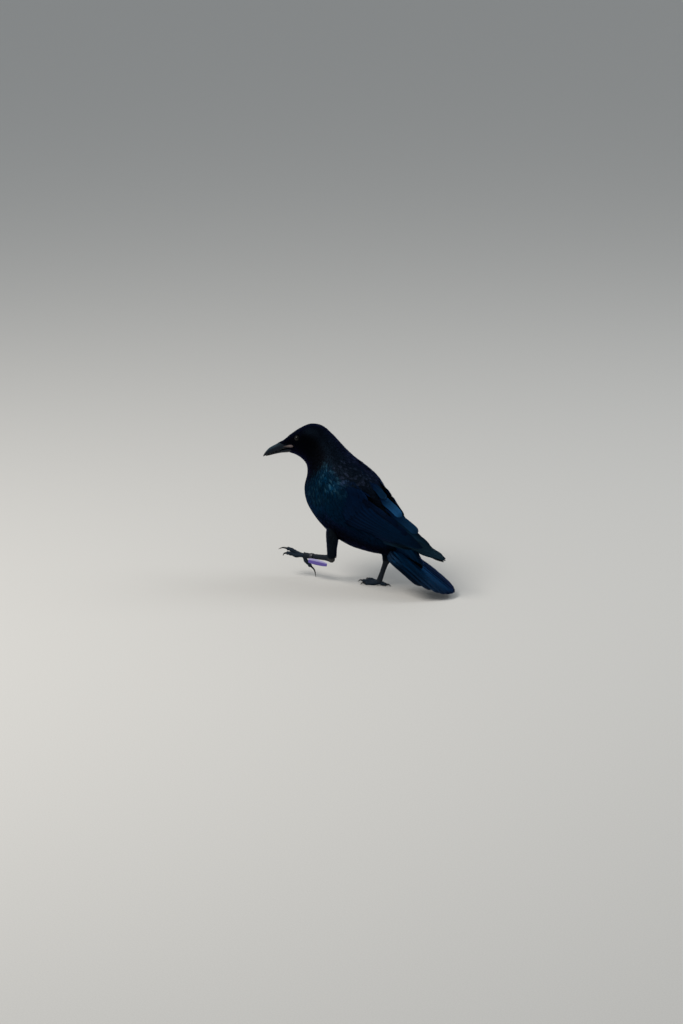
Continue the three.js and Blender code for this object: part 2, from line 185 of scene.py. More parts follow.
def body_place(at, angle, grow=0.0):
    """A point of the body's outer surface: at is a section number, and angle is 0 on the back."""
    at, angle = numbers(at, angle)
    within = np.clip(at, 0, LAST)

    def ring(where):
        top, low = along(DORSAL, where), along(VENTRAL, where)
        half = along(HALF, where) + grow
        spine = (top - low) / 2
        tall = size(spine)
        power = 2 / SQUARENESS
        up = np.sign(np.cos(angle)) * np.abs(np.cos(angle)) ** power
        out = np.sign(np.sin(angle)) * np.abs(np.sin(angle)) ** power
        middle = (top + low) / 2 + spine * (up * (1 + grow / tall))[..., None]
        place = np.stack([middle[..., 0], half * out, middle[..., 1]], -1)
        return turned(place, ease(where, TURN_FROM, TURN_TO))

    place = ring(within)
    beyond = (at - within)[..., None]
    if np.any(beyond):  # past either end it runs straight on
        back = np.where(at > LAST, LAST - 0.5, 0.5)
        place = place + np.abs(beyond) * 2 * (place - ring(back)) * (beyond != 0)
    return place


def bezier(*points):
    t = np.linspace(0, 1, 16, endpoint=False)[:, None]
    a, b, c, d = (np.array(p, float) for p in points)
    return (1 - t) ** 3 * a + 3 * (1 - t) ** 2 * t * b + 3 * (1 - t) * t**2 * c + t**3 * d


WING_OUTLINE = np.concatenate([
    bezier((-84, 146), (-84, 170), (-64, 188), (-38, 192)),
    bezier((-38, 192), (-12, 187), (8, 160), (32, 128)),
    bezier((46, 93), (24, 94), (-20, 98), (-50, 109)),
    bezier((-50, 109), (-72, 118), (-84, 130), (-84, 146)),
])
# What the closed wing's quills and coverts hide of the body, in the side view.
WING_COVER = np.array([
    (-56, 150), (-52, 124), (-40, 117), (0, 102), (45, 97), (66, 87), (88, 77), (129, 68), (128, 72),
    (114, 80), (88, 97), (62, 119), (34, 143), (12, 166), (0, 182), (-18, 192), (-36, 196), (-48, 190),
    (-54, 172),
], float)


def inside(outline, x, z):
    """How far a side-view point lies inside a closed outline, in mm, below 0 outside."""
    p = np.stack([x, z], -1)[..., None, :]
    a, b = outline, np.roll(outline, -1, 0)
    t = np.clip(dot(p - a, b - a) / dot(b - a, b - a), 0, 1)[..., None]
    distance = size(p - (a + t * (b - a))).min(-1)
    crosses = (a[:, 1] > p[..., 1]) != (b[:, 1] > p[..., 1])
    slope = (b[:, 0] - a[:, 0]) / np.where(b[:, 1] == a[:, 1], 1e-9, b[:, 1] - a[:, 1])
    odd = (crosses & (p[..., 0] < a[:, 0] + (p[..., 1] - a[:, 1]) * slope)).sum(-1) % 2
    return np.where(odd == 1, distance, -distance)


class Grid:
    """Values that fill gives on an even side-view grid, read between its points."""

    PITCH = 2.5

    def __init__(self, low, high, fill):
        self.low = np.array(low, float)
        count = np.ceil((np.array(high) - self.low) / self.PITCH).astype(int) + 1
        axes = [self.low[k] + self.PITCH * np.arange(count[k]) for k in (0, 1)]
        self.values = fill(*np.meshgrid(*axes, indexing="ij"))

    def __call__(self, x, z):
        v = self.values
        fx, fz = (np.clip((place - self.low[k]) / self.PITCH, 0, v.shape[k] - 1.001)
                  for k, place in enumerate((x, z)))
        i, j = fx.astype(int), fz.astype(int)
        s, t = fx - i, fz - j
        low = v[i, j] * (1 - s) + v[i + 1, j] * s
        return low * (1 - t) + (v[i, j + 1] * (1 - s) + v[i + 1, j + 1] * s) * t


RUMP_TUCK = 0.5  # the rump is this much narrower than the solid, which leaves the tail's sides in sight
RUMP_SINK = 3  # the skin lies this much deeper under the tail coverts
RUMP_FROM = 2.3  # tail coverts replace the coat's upper side below this section number
COVERED_SINK = 5  # the skin lies this much deeper under the wing's own feathers
BETWEEN_WINGS = (30, 45)  # within the first number of degrees off the back the coat shows between the wings
mound_grid = Grid((-120, 60), (60, 220), lambda x, z: WING_DEPTH * ease(inside(WING_OUTLINE, x, z), -2, 12))
cover_grid = Grid((-120, 40), (150, 222), lambda x, z: inside(WING_COVER, x, z))


def mounded(at, angle, sink=0.0):
    """The plumage's outer surface: it lies over the closed wing's arm, and is slim at the tail's root."""
    bare = body_place(at, angle)
    place = body_place(at, angle, mound_grid(bare[..., 0], bare[..., 2]) - sink)
    place[..., 1] *= 1 - RUMP_TUCK * ease(np.asarray(at, float), 3.0, 1.2)
    return place


body_surface = Surface(mounded)
WING_MIDLINE = 1.0  # the closed wings' feathers stay this far from the middle plane
WING_LOW, WING_HIGH = (-118, 44), (150, 226)  # the side view's part that the wing surface covers
WING_BLUR = 5


def blurred(values):
    for _ in range(2 * WING_BLUR):  # each turn blurs one way, and the transpose turns to the other
        padded = np.pad(values, ((1, 1), (0, 0)), mode="edge")
        values = ((padded[:-2] + 2 * padded[1:-1] + padded[2:]) / 4).T
    return values


def spread_out(values):
    """Fills what is not known from its neighbours, rim by rim."""
    while np.isnan(values).any():
        padded = np.pad(values, 1, constant_values=np.nan)
        near = np.stack([padded[1 + a : padded.shape[0] - 1 + a, 1 + b : padded.shape[1] - 1 + b]
                         for a in (-1, 0, 1) for b in (-1, 0, 1)])
        known = ~np.isnan(near)
        mean = np.where(known, near, 0).sum(0) / np.maximum(known.sum(0), 1)
        values = np.where(np.isnan(values) & known.any(0), mean, values)
    return values


def wing_surface(side):
    """The closed wing seen from its side: u is x and v is z, over the wing, trunk and neck solids."""
    trees = []
    for name in (f"wing_{SIDES[side]}", "trunk", "neck"):
        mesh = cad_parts[name].data
        places = [v.co for v in mesh.vertices]
        trees.append(BVHTree.FromPolygons(places, [p.vertices[:] for p in mesh.polygons]))

    def reach(x, z):
        start = metres(np.stack([x, np.full_like(x, side * 200.0), z], -1))
        out = np.full(x.shape, np.nan)
        for index in np.ndindex(*x.shape):
            hits = [tree.ray_cast(Vector(start[index]), Vector((0, -side, 0)))[0] for tree in trees]
            outer = max((side * (hit.y * 1000 - SHIFT[1]) for hit in hits if hit is not None), default=0)
            if outer > 0:
                out[index] = outer
        return blurred(spread_out(out))

    grid = Grid(WING_LOW, WING_HIGH, reach)

    def place(u, v):
        return np.stack([u, side * np.maximum(grid(u, v), WING_MIDLINE), v], -1)

    return Surface(place, sign=side, step=1.5)


TAIL_AT = np.array([
    [34, 0, 74], [52, 0.4, 63.5], [74, 1.5, 49], [94, 3, 36], [112, 6, 24], [125, 7.2, 15.8],
    [133, 7, 11], [139, 6.4, 7.8],
])
TAIL_HALF = [20, 30, 37, 38, 30, 21.5, 14, 6]
TAIL_THICK = [10, 7, 4.6, 3.2, 2.4, 1.9, 1.6, 1.2]
TAIL_CAMBER = [14, 12, 10, 9, 5.5, 3, 1.4, 0.3]
TAIL_UP = np.array([0.55, 0, 0.835])
TAIL_WIDE = 38.0  # v of 1 lies this far from the tail's middle line


def tail_place(u, v):
    """The tail's upper side: u runs from its root to its tip, and v across it."""
    u, v = numbers(u, v)
    share = v * TAIL_WIDE / np.maximum(along(TAIL_HALF, np.clip(u, 0, 6.3)), 12)
    drop = along(TAIL_CAMBER, np.clip(u, 0, 7)) * share**2
    rise = along(TAIL_THICK, np.clip(u, 0, 7)) / 2 * np.sqrt(np.clip(1 - share**2, 0.1, 1))
    middle = along(TAIL_AT, u)
    middle[..., 1] += v * TAIL_WIDE
    return middle + (rise - drop)[..., None] * TAIL_UP


def limb_surface(stops):
    """A limb of round sections through stops of (point, radius), as the solids have it."""
    points, radii = (np.array(values, float) for values in zip(*stops))
    last = len(stops) - 1

    def place(u, v):
        u, v = numbers(u, v)
        on = np.clip(u, 0, last)
        before, after = (along(points, np.clip(on + step, 0, last)) for step in (-0.05, 0.05))
        ahead = unit(after - before)
        side = unit(np.cross([0.0, 1.0, 0.0], ahead))
        across = unit(np.cross(ahead, side))
        radius = along(radii, on)[..., None]
        ring = side * np.cos(v)[..., None] * radius + across * np.sin(v)[..., None] * radius
        beyond = (u - on)[..., None] * size(points[-1] - points[-2])
        return along(points, on) + ring + ahead * beyond

    return Surface(place)


# ------------------------------------------------------------------ making meshes
def add_piece(name, shape, look, tint, nodes=(), vane=None, bake=None, sharp=50):
    """A mesh object from (points in mm, list of (n, corners) face arrays), riding on the body."""
    mesh = bpy.data.meshes.new(name)
    places = metres(shape[0].reshape(-1, 3))
    corners = np.concatenate([f.ravel() for f in shape[1]]).astype(np.int32)
    sizes = np.concatenate([np.full(len(f), f.shape[1], np.int32) for f in shape[1]])
    mesh.vertices.add(len(places))
    mesh.vertices.foreach_set("co", places.ravel().astype(np.float32))
    mesh.loops.add(len(corners))
    mesh.loops.foreach_set("vertex_index", corners)
    mesh.polygons.add(len(sizes))
    mesh.polygons.foreach_set("loop_start", np.concatenate([[0], np.cumsum(sizes)[:-1]]).astype(np.int32))
    mesh.polygons.foreach_set("use_smooth", np.ones(len(sizes), bool))
    mesh.update(calc_edges=True)
    for layer, values in (("OFBake", bake), ("Vane", vane)):
        if values is not None:
            uv = mesh.uv_layers.new(name=layer)
            uv.data.foreach_set("uv", np.asarray(values, np.float32).reshape(-1, 2)[corners].ravel())
    rgba = np.ones((len(places), 4), np.float32)
    rgba[:, :3] = np.asarray(tint).reshape(-1, 3)
    mesh.color_attributes.new("Tint", "FLOAT_COLOR", "POINT").data.foreach_set("color", rgba.ravel())
    mesh.validate()
    mesh.set_sharp_from_angle(angle=math.radians(sharp))
    mesh.materials.append(look)
    piece = bpy.data.objects.new(name, mesh)
    bpy.context.scene.collection.objects.link(piece)
    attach(piece, "root")
    if nodes:
        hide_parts(*nodes)


def closed(rings, loop=False):
    """Points and faces of rings (count, sides, 3): a loop of them, or a tube with closed ends."""
    count, sides = rings.shape[:2]
    i, j = (m.ravel() for m in np.meshgrid(np.arange(count - (not loop)), np.arange(sides), indexing="ij"))
    k, m = (i + 1) % count * sides, (j + 1) % sides
    points, faces = rings.reshape(-1, 3), [np.stack([i * sides + j, i * sides + m, k + m, k + j], -1)]
    if not loop:  # fans close the ends on two extra points
        points = np.concatenate([points, rings[0].mean(0)[None], rings[-1].mean(0)[None]])
        j = np.arange(sides)
        m, last, top = (j + 1) % sides, len(points) - 1, (count - 1) * sides
        ends = [np.full(sides, last - 1), m, j], [np.full(sides, last), top + j, top + m]
        faces.append(np.concatenate([np.stack(end, -1) for end in ends]))
    a, b, c = (points[faces[0][:, k]] for k in range(3))
    middle = np.repeat(rings.mean(1), sides, 0)[: len(a)]
    if dot(np.cross(b - a, c - a), a - middle).sum() < 0:  # all faces look out
        faces = [f[:, ::-1] for f in faces]
    return points, faces


def joined(parts):
    """Several (points, faces) as one."""
    points, faces, start = [], [], 0
    for places, found in parts:
        points.append(places)
        faces += [f + start for f in found]
        start += len(places)
    kinds = [[f for f in faces if f.shape[1] == corners] for corners in (4, 3)]
    return np.concatenate(points), [np.concatenate(kind) for kind in kinds if kind]


def swept(points, radii, squashes, sides, steps, up=(0, 0, 1), wave=None):
    """A closed round-ended tube through points, wider along up than across by its squash."""
    points = np.array(points, float)
    last = len(points) - 1
    u, v = np.linspace(0, last, last * steps + 1), circle(sides)
    place = along(points, u)
    ahead = unit(np.gradient(place, axis=0))
    side = unit(np.cross(np.array(up, float), ahead))
    rise = unit(np.cross(ahead, side))
    radius, squash = along(radii, u)[:, None], along(squashes, u)
    radius = radius * (wave(u, v) if wave else np.ones(sides))
    ring = rise[:, None] * (np.cos(v) * radius)[..., None]
    ring = ring + side[:, None] * (np.sin(v) * radius * squash[:, None])[..., None]
    return closed(place[:, None] + ring)


# ------------------------------------------------------------------ vanes
def vane_template(rows, c, full):
    """Faces of a closed vane of c columns: a top grid, and under it a keel line, or a grid if full."""
    i, j = (m.ravel() for m in np.meshgrid(np.arange(rows - 1), np.arange(c - 1), indexing="ij"))
    quads = [np.stack([i * c + j, (i + 1) * c + j, (i + 1) * c + j + 1, i * c + j + 1], -1)]
    i, j = np.arange(rows - 1), np.arange(c - 1)
    under, top, right = rows * c, (rows - 1) * c, i * c + c - 1
    if full:
        quads += [
            quads[0][:, ::-1] + under,
            np.stack([i * c, i * c + under, (i + 1) * c + under, (i + 1) * c], -1),
            np.stack([right, right + c, right + c + under, right + under], -1),
            np.stack([j, j + 1, j + 1 + under, j + under], -1),
            np.stack([top + j + 1, top + j, top + j + under, top + j + 1 + under], -1),
        ]
        return [np.concatenate(quads)]
    keel = under + i
    quads.append(np.stack([i * c, keel, keel + 1, (i + 1) * c], -1))
    quads.append(np.stack([keel, right, right + c, keel + 1], -1))
    root = np.stack([j, j + 1, np.full_like(j, under)], -1)
    tip = np.stack([top + j + 1, top + j, np.full_like(j, under + rows - 1)], -1)
    return [np.concatenate(quads), np.concatenate([root, tip])]


def walk(surface, roots, lengths, rows, flow):
    """Lines of (u, v) over a surface from each root, each following flow for its length."""
    uv, lines = roots.copy(), [roots.copy()]
    for _ in range(rows - 1):
        _, du, dv, normal = surface.frame(uv)
        ahead = flow(uv, du, dv)
        ahead = unit(ahead - normal * dot(ahead, normal)[..., None])
        uv = uv + solve(du, dv, ahead * (lengths / (rows - 1))[:, None])
        lines.append(uv.copy())
    return np.stack(lines, 1)


def vanes(surface, line, shares, wide, lift, sag, thick, columns=(-1, -0.5, 0, 0.5, 1), pull=0.1,
          rachis=0.0, full=False, ragged=0.0):
    """Closed feather vanes laid over a surface.

    line is (n, rows, 2) places on the surface and shares the rows' shares of the length. wide is
    (n, rows, 2), the widths below and above the shaft. lift is (n, rows), how far the shaft lies
    off the surface. sag drops the edges by that share of the width, and pull draws the edges of a
    row back by that share of the length, which rounds the tip. ragged is the share of the length
    by which the tip's points differ, and rachis how far the shaft stands up. Returns points, faces
    and vane places, and for one vane's points their shares of its length and places across it.
    """
    n, rows = line.shape[:2]
    t, shares = np.array(columns, float), np.asarray(shares)
    down = shares[:, None]
    here, du, dv, normal = surface.frame(line)
    ahead = unit(np.gradient(here, axis=1))
    side = unit(np.cross(normal, ahead))
    length = size(np.diff(here, axis=1)).sum(1)[:, None, None]
    across = np.where(t < 0, wide[..., :1] * t, wide[..., 1:] * t)  # (n, rows, columns)
    drawn = -(pull * length) * np.abs(t) ** 2 * (down**2)
    if ragged:
        drawn = drawn + scatter(1, (n, 1, len(t))) * (down**3) * (ragged * length)
    move = side[:, :, None] * across[..., None] + ahead[:, :, None] * drawn[..., None]
    uv = line[:, :, None] + solve(du[:, :, None], dv[:, :, None], move)
    place, _, _, up = surface.frame(uv)
    height = lift[..., None] - sag * wide.max(-1)[..., None] * np.abs(t) ** 1.7
    height = height + rachis * (np.abs(t) < 1e-6) * (1 - 0.7 * shares)[:, None]
    top = place + up * height[..., None]
    keel = slice(None) if full else slice(len(t) // 2, len(t) // 2 + 1)
    low = top[:, :, keel] - up[:, :, keel] * (thick if full else thick + rachis)
    points = np.concatenate([top.reshape(n, -1, 3), low.reshape(n, -1, 3)], 1)
    starts = (np.arange(n) * points.shape[1])[:, None, None]
    faces = [(f[None] + starts).reshape(-1, f.shape[1]) for f in vane_template(rows, len(t), full)]
    vane = np.stack([np.broadcast_to(down * length, across.shape) + drawn, across], -1)
    vane = np.concatenate([vane.reshape(n, -1, 2), vane[:, :, keel].reshape(n, -1, 2)], 1)
    share = np.concatenate([np.repeat(shares, len(t)), np.repeat(shares, low.shape[2])])
    cross = np.concatenate([np.tile(t, rows), np.tile(t, rows) if full else np.zeros(rows)])
    return points, faces, vane, share, cross


PATCH = 0.003  # a vane's patch on the bake map
QUILL_PATCH = 0.02  # and how long a quill's is


def add_vanes(name, made, look, tint, roots, nodes=(), long=PATCH, sharp=50):
    """A piece of vanes, with every vane as a small patch of the bake map at its root's place there."""
    points, faces, vane, share, cross = made
    offset = np.stack([cross * PATCH / 2, share * long], -1)
    add_piece(name, (points, faces), look, tint, nodes, vane, roots[:, None, :] + offset[None], sharp)


# ------------------------------------------------------------------ colours
INK = np.array([0.0012, 0.0013, 0.0018])  # face and belly black
NAVY = np.array([0.0005, 0.0080, 0.0220])
TEAL = np.array([0.0010, 0.0195, 0.0460])
SLATE = np.array([0.0045, 0.0080, 0.0140])
# painted purple-grey highlight for the tips of some mantle feathers
PLUM_TIP_HIGHLIGHT = np.array([0.0160, 0.0220, 0.0400])
DEEP_BLUE = np.array([0.0004, 0.0090, 0.0330])
# painted highlight on the tertials' tips
TERTIAL_HIGHLIGHT = np.array([0.0090, 0.0520, 0.1250])
TIP_GREY = np.array([0.0080, 0.0250, 0.0400])
# painted highlight of the lighter streaks on the neck's and breast's hackles
STREAK_HIGHLIGHT = np.array([0.0130, 0.0440, 0.0700])
THIGH_TINT = np.array([0.0060, 0.0085, 0.0120])


def mix(a, b, share):
    share = np.asarray(share)[..., None]
    return a * (1 - share) + b * share


def off_back(angle):
    """How far round the body an angle is from the back, whichever side it is on."""
    return np.abs((angle + math.pi) % (2 * math.pi) - math.pi)


def round_ease(angle, low, high):
    """Smoothstep of an angle's distance from the back, between two numbers of degrees."""
    return ease(off_back(angle), math.radians(low), math.radians(high))


def body_tint(at, angle):
    """The plumage's colour on the head, neck and trunk, with painted shade on the rump's sides, for the skin
    and the coat alike.
    """
    back, low = round_ease(angle, 72, 45), round_ease(angle, 98, 122)
    trunk = mix(mix(TEAL, NAVY, ease(at, 7.5, 5.0)), SLATE * 0.65, back)
    trunk = mix(trunk, INK, low * ease(at, 7.2, 5.6))
    trunk = mix(trunk, INK, 0.85 * back * ease(at, 5.6, 4.4))
    # painted shade: the rump's sides and underside go near black towards the tail, where the wing shades them
    trunk = mix(trunk, INK * 0.6, ease(at, 3.5, 2.0) * (1 - back))
    neck = mix(INK * 1.5, SLATE * 0.6, back)
    head = mix(INK * 0.3, SLATE * 0.3, back)
    return mix(mix(trunk, neck, ease(at, 8.0, 9.0)), head, ease(at, 9.6, 11.4))


# the share of a vane's colour that its painted shade leaves at the root, where the vanes before it cover it
ROOT_SHADE = 0.75
# where a vane's painted purple-grey tip highlight begins, as a share of its length
TIP_HIGHLIGHT_FROM = 0.8


def feather_tint(base, share, spread, tip_highlight=None):
    """Colours of vanes (n, points, 3) from each one's own colour, with painted shade at the root.

    spread is how far the vanes differ, and tip_highlight says how strongly each one has a painted purple-grey
    highlight at its tip.
    """
    shade = uneven(spread, (len(base), 1, 1))
    # painted shade: darker towards the root, where the vanes before it cover it
    run = ROOT_SHADE + (1 - ROOT_SHADE) * ease(share, 0.1, 0.75)
    colour = base[:, None] * shade * run[None, :, None]
    if tip_highlight is not None:
        # painted highlight: purple-grey towards the tip
        weight = ease(share, TIP_HIGHLIGHT_FROM, 1.0)[None, :, None] * tip_highlight[:, None, None]
        colour = colour * (1 - weight) + PLUM_TIP_HIGHLIGHT * shade * weight
    return colour


# ------------------------------------------------------------------ materials
class Look:
    """A material in the making: a principled shader, and short names for the nodes that feed it."""

    def __init__(self, name):
        self.material = bpy.data.materials.new(name)
        self.material.use_nodes = True
        self.tree = self.material.node_tree
        self.tree.nodes.clear()
        self.shader = self.node("BsdfPrincipled")
        self.node("OutputMaterial", {"Surface": self.shader.outputs["BSDF"]})
        self.where = self.node("TexCoord").outputs["Object"]

    def fill(self, node, inputs):
        """Gives a node's inputs their values, or links them where they come from another node."""
        for name, value in inputs.items():
            if isinstance(value, bpy.types.NodeSocket):
                self.tree.links.new(value, node.inputs[name])
            else:
                node.inputs[name].default_value = value

    def node(self, kind, inputs=(), **choices):
        node = self.tree.nodes.new("ShaderNode" + kind)
        for name, choice in choices.items():
            setattr(node, name, choice)
        self.fill(node, dict(inputs))
        return node

    def maths(self, operation, *values):
        return self.node("Math", enumerate(values), operation=operation).outputs[0]

    def ranged(self, value, low, high, to_low=0.0, to_high=1.0):
        ends = {"From Min": low, "From Max": high, "To Min": to_low, "To Max": to_high}
        return self.node("MapRange", {"Value": value, **ends}).outputs["Result"]

    def noise(self, scale, detail, where=None):
        where = self.where if where is None else where
        return self.node("TexNoise", {"Vector": where, "Scale": scale, "Detail": detail}).outputs["Fac"]

    def scaled(self, colour, factor):
        return self.node("VectorMath", {0: colour, "Scale": factor}, operation="SCALE").outputs["Vector"]

    def tint(self, factor, low, high):
        """The Tint colour, multiplied by low to high as factor goes from 0 to 1."""
        colour = self.node("Attribute", attribute_name="Tint").outputs["Color"]
        return self.scaled(colour, self.ranged(factor, 0.0, 1.0, low, high))

    def bump(self, height, distance, strength, **below):
        inputs = {"Height": height, "Distance": distance, "Strength": strength, **below}
        return self.node("Bump", inputs).outputs["Normal"]

    def finished(self, inputs):
        self.fill(self.shader, inputs)
        return self.material


BARB_SLANT = 1.1  # how far a barb runs along the shaft for each mm away from it
BARB_WOBBLE = 1.2
SKY = (0.25, 0.45, 0.8, 1)  # the feathers' gloss is blue


def feather_look(name, metallic, roughness, barb_mm, barb_strength, coat=0.0):
    """Blue-black vanes: the Tint colour, with barbs slanting off the shaft as fine ridges."""
    look = Look(name)
    vane = look.node("UVMap", uv_map="Vane").outputs["UV"]
    run, cross = look.node("SeparateXYZ", {0: vane}).outputs[:2]
    off_shaft = look.maths("ABSOLUTE", cross)
    slant = look.maths("SUBTRACT", run, look.maths("MULTIPLY", off_shaft, BARB_SLANT))
    wobble = look.maths("MULTIPLY", look.noise(0.5, 2, vane), BARB_WOBBLE)
    phase = look.maths("MULTIPLY", look.maths("ADD", slant, wobble), 2 * math.pi / barb_mm)
    barbs = look.maths("SINE", phase)
    patches = look.maths("MULTIPLY", look.noise(260, 4), 0.6)
    streaks = look.maths("MULTIPLY", look.ranged(barbs, -1, 1), 0.4)
    return look.finished({
        "Base Color": look.tint(look.maths("ADD", patches, streaks), 0.55, 1.45),
        "Roughness": look.ranged(look.noise(1400, 2), 0.3, 0.7, roughness - 0.07, roughness + 0.08),
        "Normal": look.bump(barbs, 0.00012, barb_strength),
        "Metallic": metallic, "Specular IOR Level": 0.06, "Specular Tint": SKY,
        "Coat Weight": coat, "Coat Roughness": 0.35,
    })


def skin_look():
    """The soft dark down under the vanes."""
    look = Look("plumage_underlay")
    down = look.noise(600, 4)
    return look.finished({
        "Base Color": look.tint(down, 0.3, 0.7), "Normal": look.bump(down, 0.0006, 0.6),
        "Roughness": 0.9, "Specular IOR Level": 0.02,
    })


def horn_look(name, roughness, lines, coat):
    """Bill and claw horn: the Tint colour with fine lengthwise lines, scuffs and a satin gloss."""
    look = Look(name)
    lengthwise = {"Vector": look.where, "Scale": (0.15, 1.0, 1.0), "Rotation": (0, math.radians(-25), 0)}
    grain = look.noise(lines, 3, look.node("Mapping", lengthwise).outputs["Vector"])
    scuffs = look.noise(220, 5)
    return look.finished({
        "Base Color": look.tint(scuffs, 0.5, 1.5),
        "Roughness": look.ranged(scuffs, 0.3, 0.7, roughness - 0.08, roughness + 0.1),
        "Normal": look.bump(grain, 0.0001, 0.25),
        "Specular IOR Level": 0.08, "Coat Weight": coat, "Coat Roughness": 0.22,
    })


def scale_look():
    """Leg and toe scutes: dry leathery plates with finer creases between."""
    look = Look("leg_scutes")
    cells = look.node("TexVoronoi", {"Vector": look.where, "Scale": 1100}, feature="DISTANCE_TO_EDGE")
    creases = look.ranged(cells.outputs["Distance"], 0.0, 0.12)
    dust = look.noise(350, 4)
    return look.finished({
        "Base Color": look.tint(dust, 0.6, 1.45),
        "Roughness": look.ranged(dust, 0.3, 0.7, 0.42, 0.62),
        "Normal": look.bump(dust, 0.0002, 0.3, Normal=look.bump(creases, 0.00012, 0.5)),
        "Specular IOR Level": 0.1,
    })


def eye_look():
    """The wet eyeball, glossier than it is bright."""
    look = Look("eye_wet")
    return look.finished({
        "Base Color": look.tint(look.noise(2500, 3), 0.6, 1.5), "Roughness": 0.08, "IOR": 1.08,
        "Coat Weight": 0.5, "Coat Roughness": 0.02, "Coat IOR": 1.36,
    })


def flesh_look(name, roughness):
    """Bare skin of the gape and lids: the Tint colour, finely wrinkled."""
    look = Look(name)
    wrinkles = look.noise(1500, 5)
    return look.finished({
        "Base Color": look.tint(wrinkles, 0.6, 1.4), "Normal": look.bump(wrinkles, 0.00025, 0.5),
        "Roughness": roughness, "Specular IOR Level": 0.12,
    })


def plastic_look(name, roughness):
    """Moulded plastic of the tag and ring, with fine scratches and a little grime."""
    look = Look(name)
    grime = look.noise(300, 5)
    return look.finished({
        "Base Color": look.tint(grime, 0.75, 1.2),
        "Roughness": look.ranged(grime, 0.35, 0.7, roughness - 0.08, roughness + 0.15),
        "Normal": look.bump(look.noise(2200, 2), 0.00005, 0.3),
    })


def floor_look():
    """The pale matt floor, very finely mottled."""
    look = Look("floor_pale")
    mottle = look.ranged(look.noise(500, 3), 0.3, 0.7, 0.97, 1.03)
    return look.finished({
        "Base Color": look.scaled((0.62, 0.60, 0.565), mottle), "Roughness": 0.95, "Specular IOR Level": 0.1,
    })


CONTOUR = feather_look("contour_feather", 0.7, 0.44, 0.7, 0.3)
FLIGHT = feather_look("flight_feather", 0.8, 0.36, 0.8, 0.25, coat=0.04)
UNDERLAY = skin_look()
HORN = horn_look("bill_horn", 0.34, 900, 0.03)
CLAW = horn_look("claw_horn", 0.3, 1500, 0.35)
SCUTE = scale_look()
EYE_WET = eye_look()
GAPE = flesh_look("gape_skin", 0.5)
LID = flesh_look("eyelid_skin", 0.6)
TAG_PLASTIC = plastic_look("tag_plastic", 0.38)
RING_PLASTIC = plastic_look("ring_plastic", 0.42)

# ------------------------------------------------------------------ the bake map
# Each part of the bird has its own part of the map, from a low to a high corner.
BODY_MAP = (0.02, 0.02), (0.66, 0.96)
THIGH_MAPS = {LEFT: ((0.72, 0.02), (0.96, 0.30)), RIGHT: ((0.72, 0.34), (0.96, 0.62))}
WING_MAPS = {LEFT: ((0.70, 0.66), (0.83, 0.96)), RIGHT: ((0.85, 0.66), (0.98, 0.96))}
TAIL_MAP = (0.70, 0.64), (0.98, 0.655)
THIGH_END = 3.0  # a thigh's last stop, at the heel


def on_map(corners, across, up):
    """Places on a part of the map from shares of its width and height."""
    low, high = np.array(corners)
    return low + np.clip(np.stack([across, up], -1), 0, 1) * (high - low)


def body_map(at, angle):
    """The body's unwrap: round it across the map, and along it up the map."""
    at, angle = numbers(at, angle)
    return on_map(BODY_MAP, (angle + math.pi) % (2 * math.pi) / (2 * math.pi), (at + 1) / (LAST + 2))


def thigh_map(side, u, v):
    return on_map(THIGH_MAPS[side], v % (2 * math.pi) / (2 * math.pi), u / (THIGH_END + 0.2))


def wing_map(side, xz):
    share = (xz - np.array(WING_LOW)) / np.subtract(WING_HIGH, WING_LOW)
    return on_map(WING_MAPS[side], share[..., 0], share[..., 1])


# ------------------------------------------------------------------ skin
# The coat's depth and its feathers' length in mm, for each section of the body from tail to forehead.
COAT_DEPTH = [1.8, 2.0, 2.0, 2.0, 2.0, 1.9, 1.8, 1.7, 1.6, 1.4, 1.2, 1.0, 0.9, 0.8, 0.7, 0.6]
COAT_LONG = [21, 24, 26, 26, 25, 24, 23, 22, 20, 16, 11.5, 7.5, 5.6, 4.4, 3.6, 3]
SKIN_BELOW = 0.35  # the skin lies this far under the vanes' roots
THIGH_DEPTH = 1.6  # the depth of the thighs' feathers
# For each stop down the thigh, how far it lies in from the solid and its share of the solid's radius.
THIGH_SLIM = [(4.0, 0.92), (2.0, 1.0), (0, 1.04), (0, 1.0)]
THIGH_STOPS = {
    side: [([x, y - side * inward, z], radius * share)
           for ([x, y, z], radius), (inward, share) in zip(solid, THIGH_SLIM)]
    for side, solid in THIGH.items()
}
thighs = {side: limb_surface(stops) for side, stops in THIGH_STOPS.items()}


def by_section(values, at):
    return np.interp(at, np.arange(LAST + 1), values)


def skin_place(at, angle):
    """The skin under the coat: deeper where the wings' and tail's own feathers lie over it."""
    bare = body_place(at, angle)
    under_wing = ease(cover_grid(bare[..., 0], bare[..., 2]), 3, 12) * round_ease(angle, *BETWEEN_WINGS)
    under = COVERED_SINK * under_wing + RUMP_SINK * ease(at, RUMP_FROM + 0.3, RUMP_FROM - 0.7)
    return mounded(at, angle, by_section(COAT_DEPTH, at) + SKIN_BELOW + under)


def closed_places(u, v):
    """The (u, v) of each point of a closed tube, its two end points last."""
    u, v = (m.ravel() for m in np.meshgrid(u, v, indexing="ij"))
    return np.append(u, [u[0], u[-1]]), np.append(v, [0, 0])


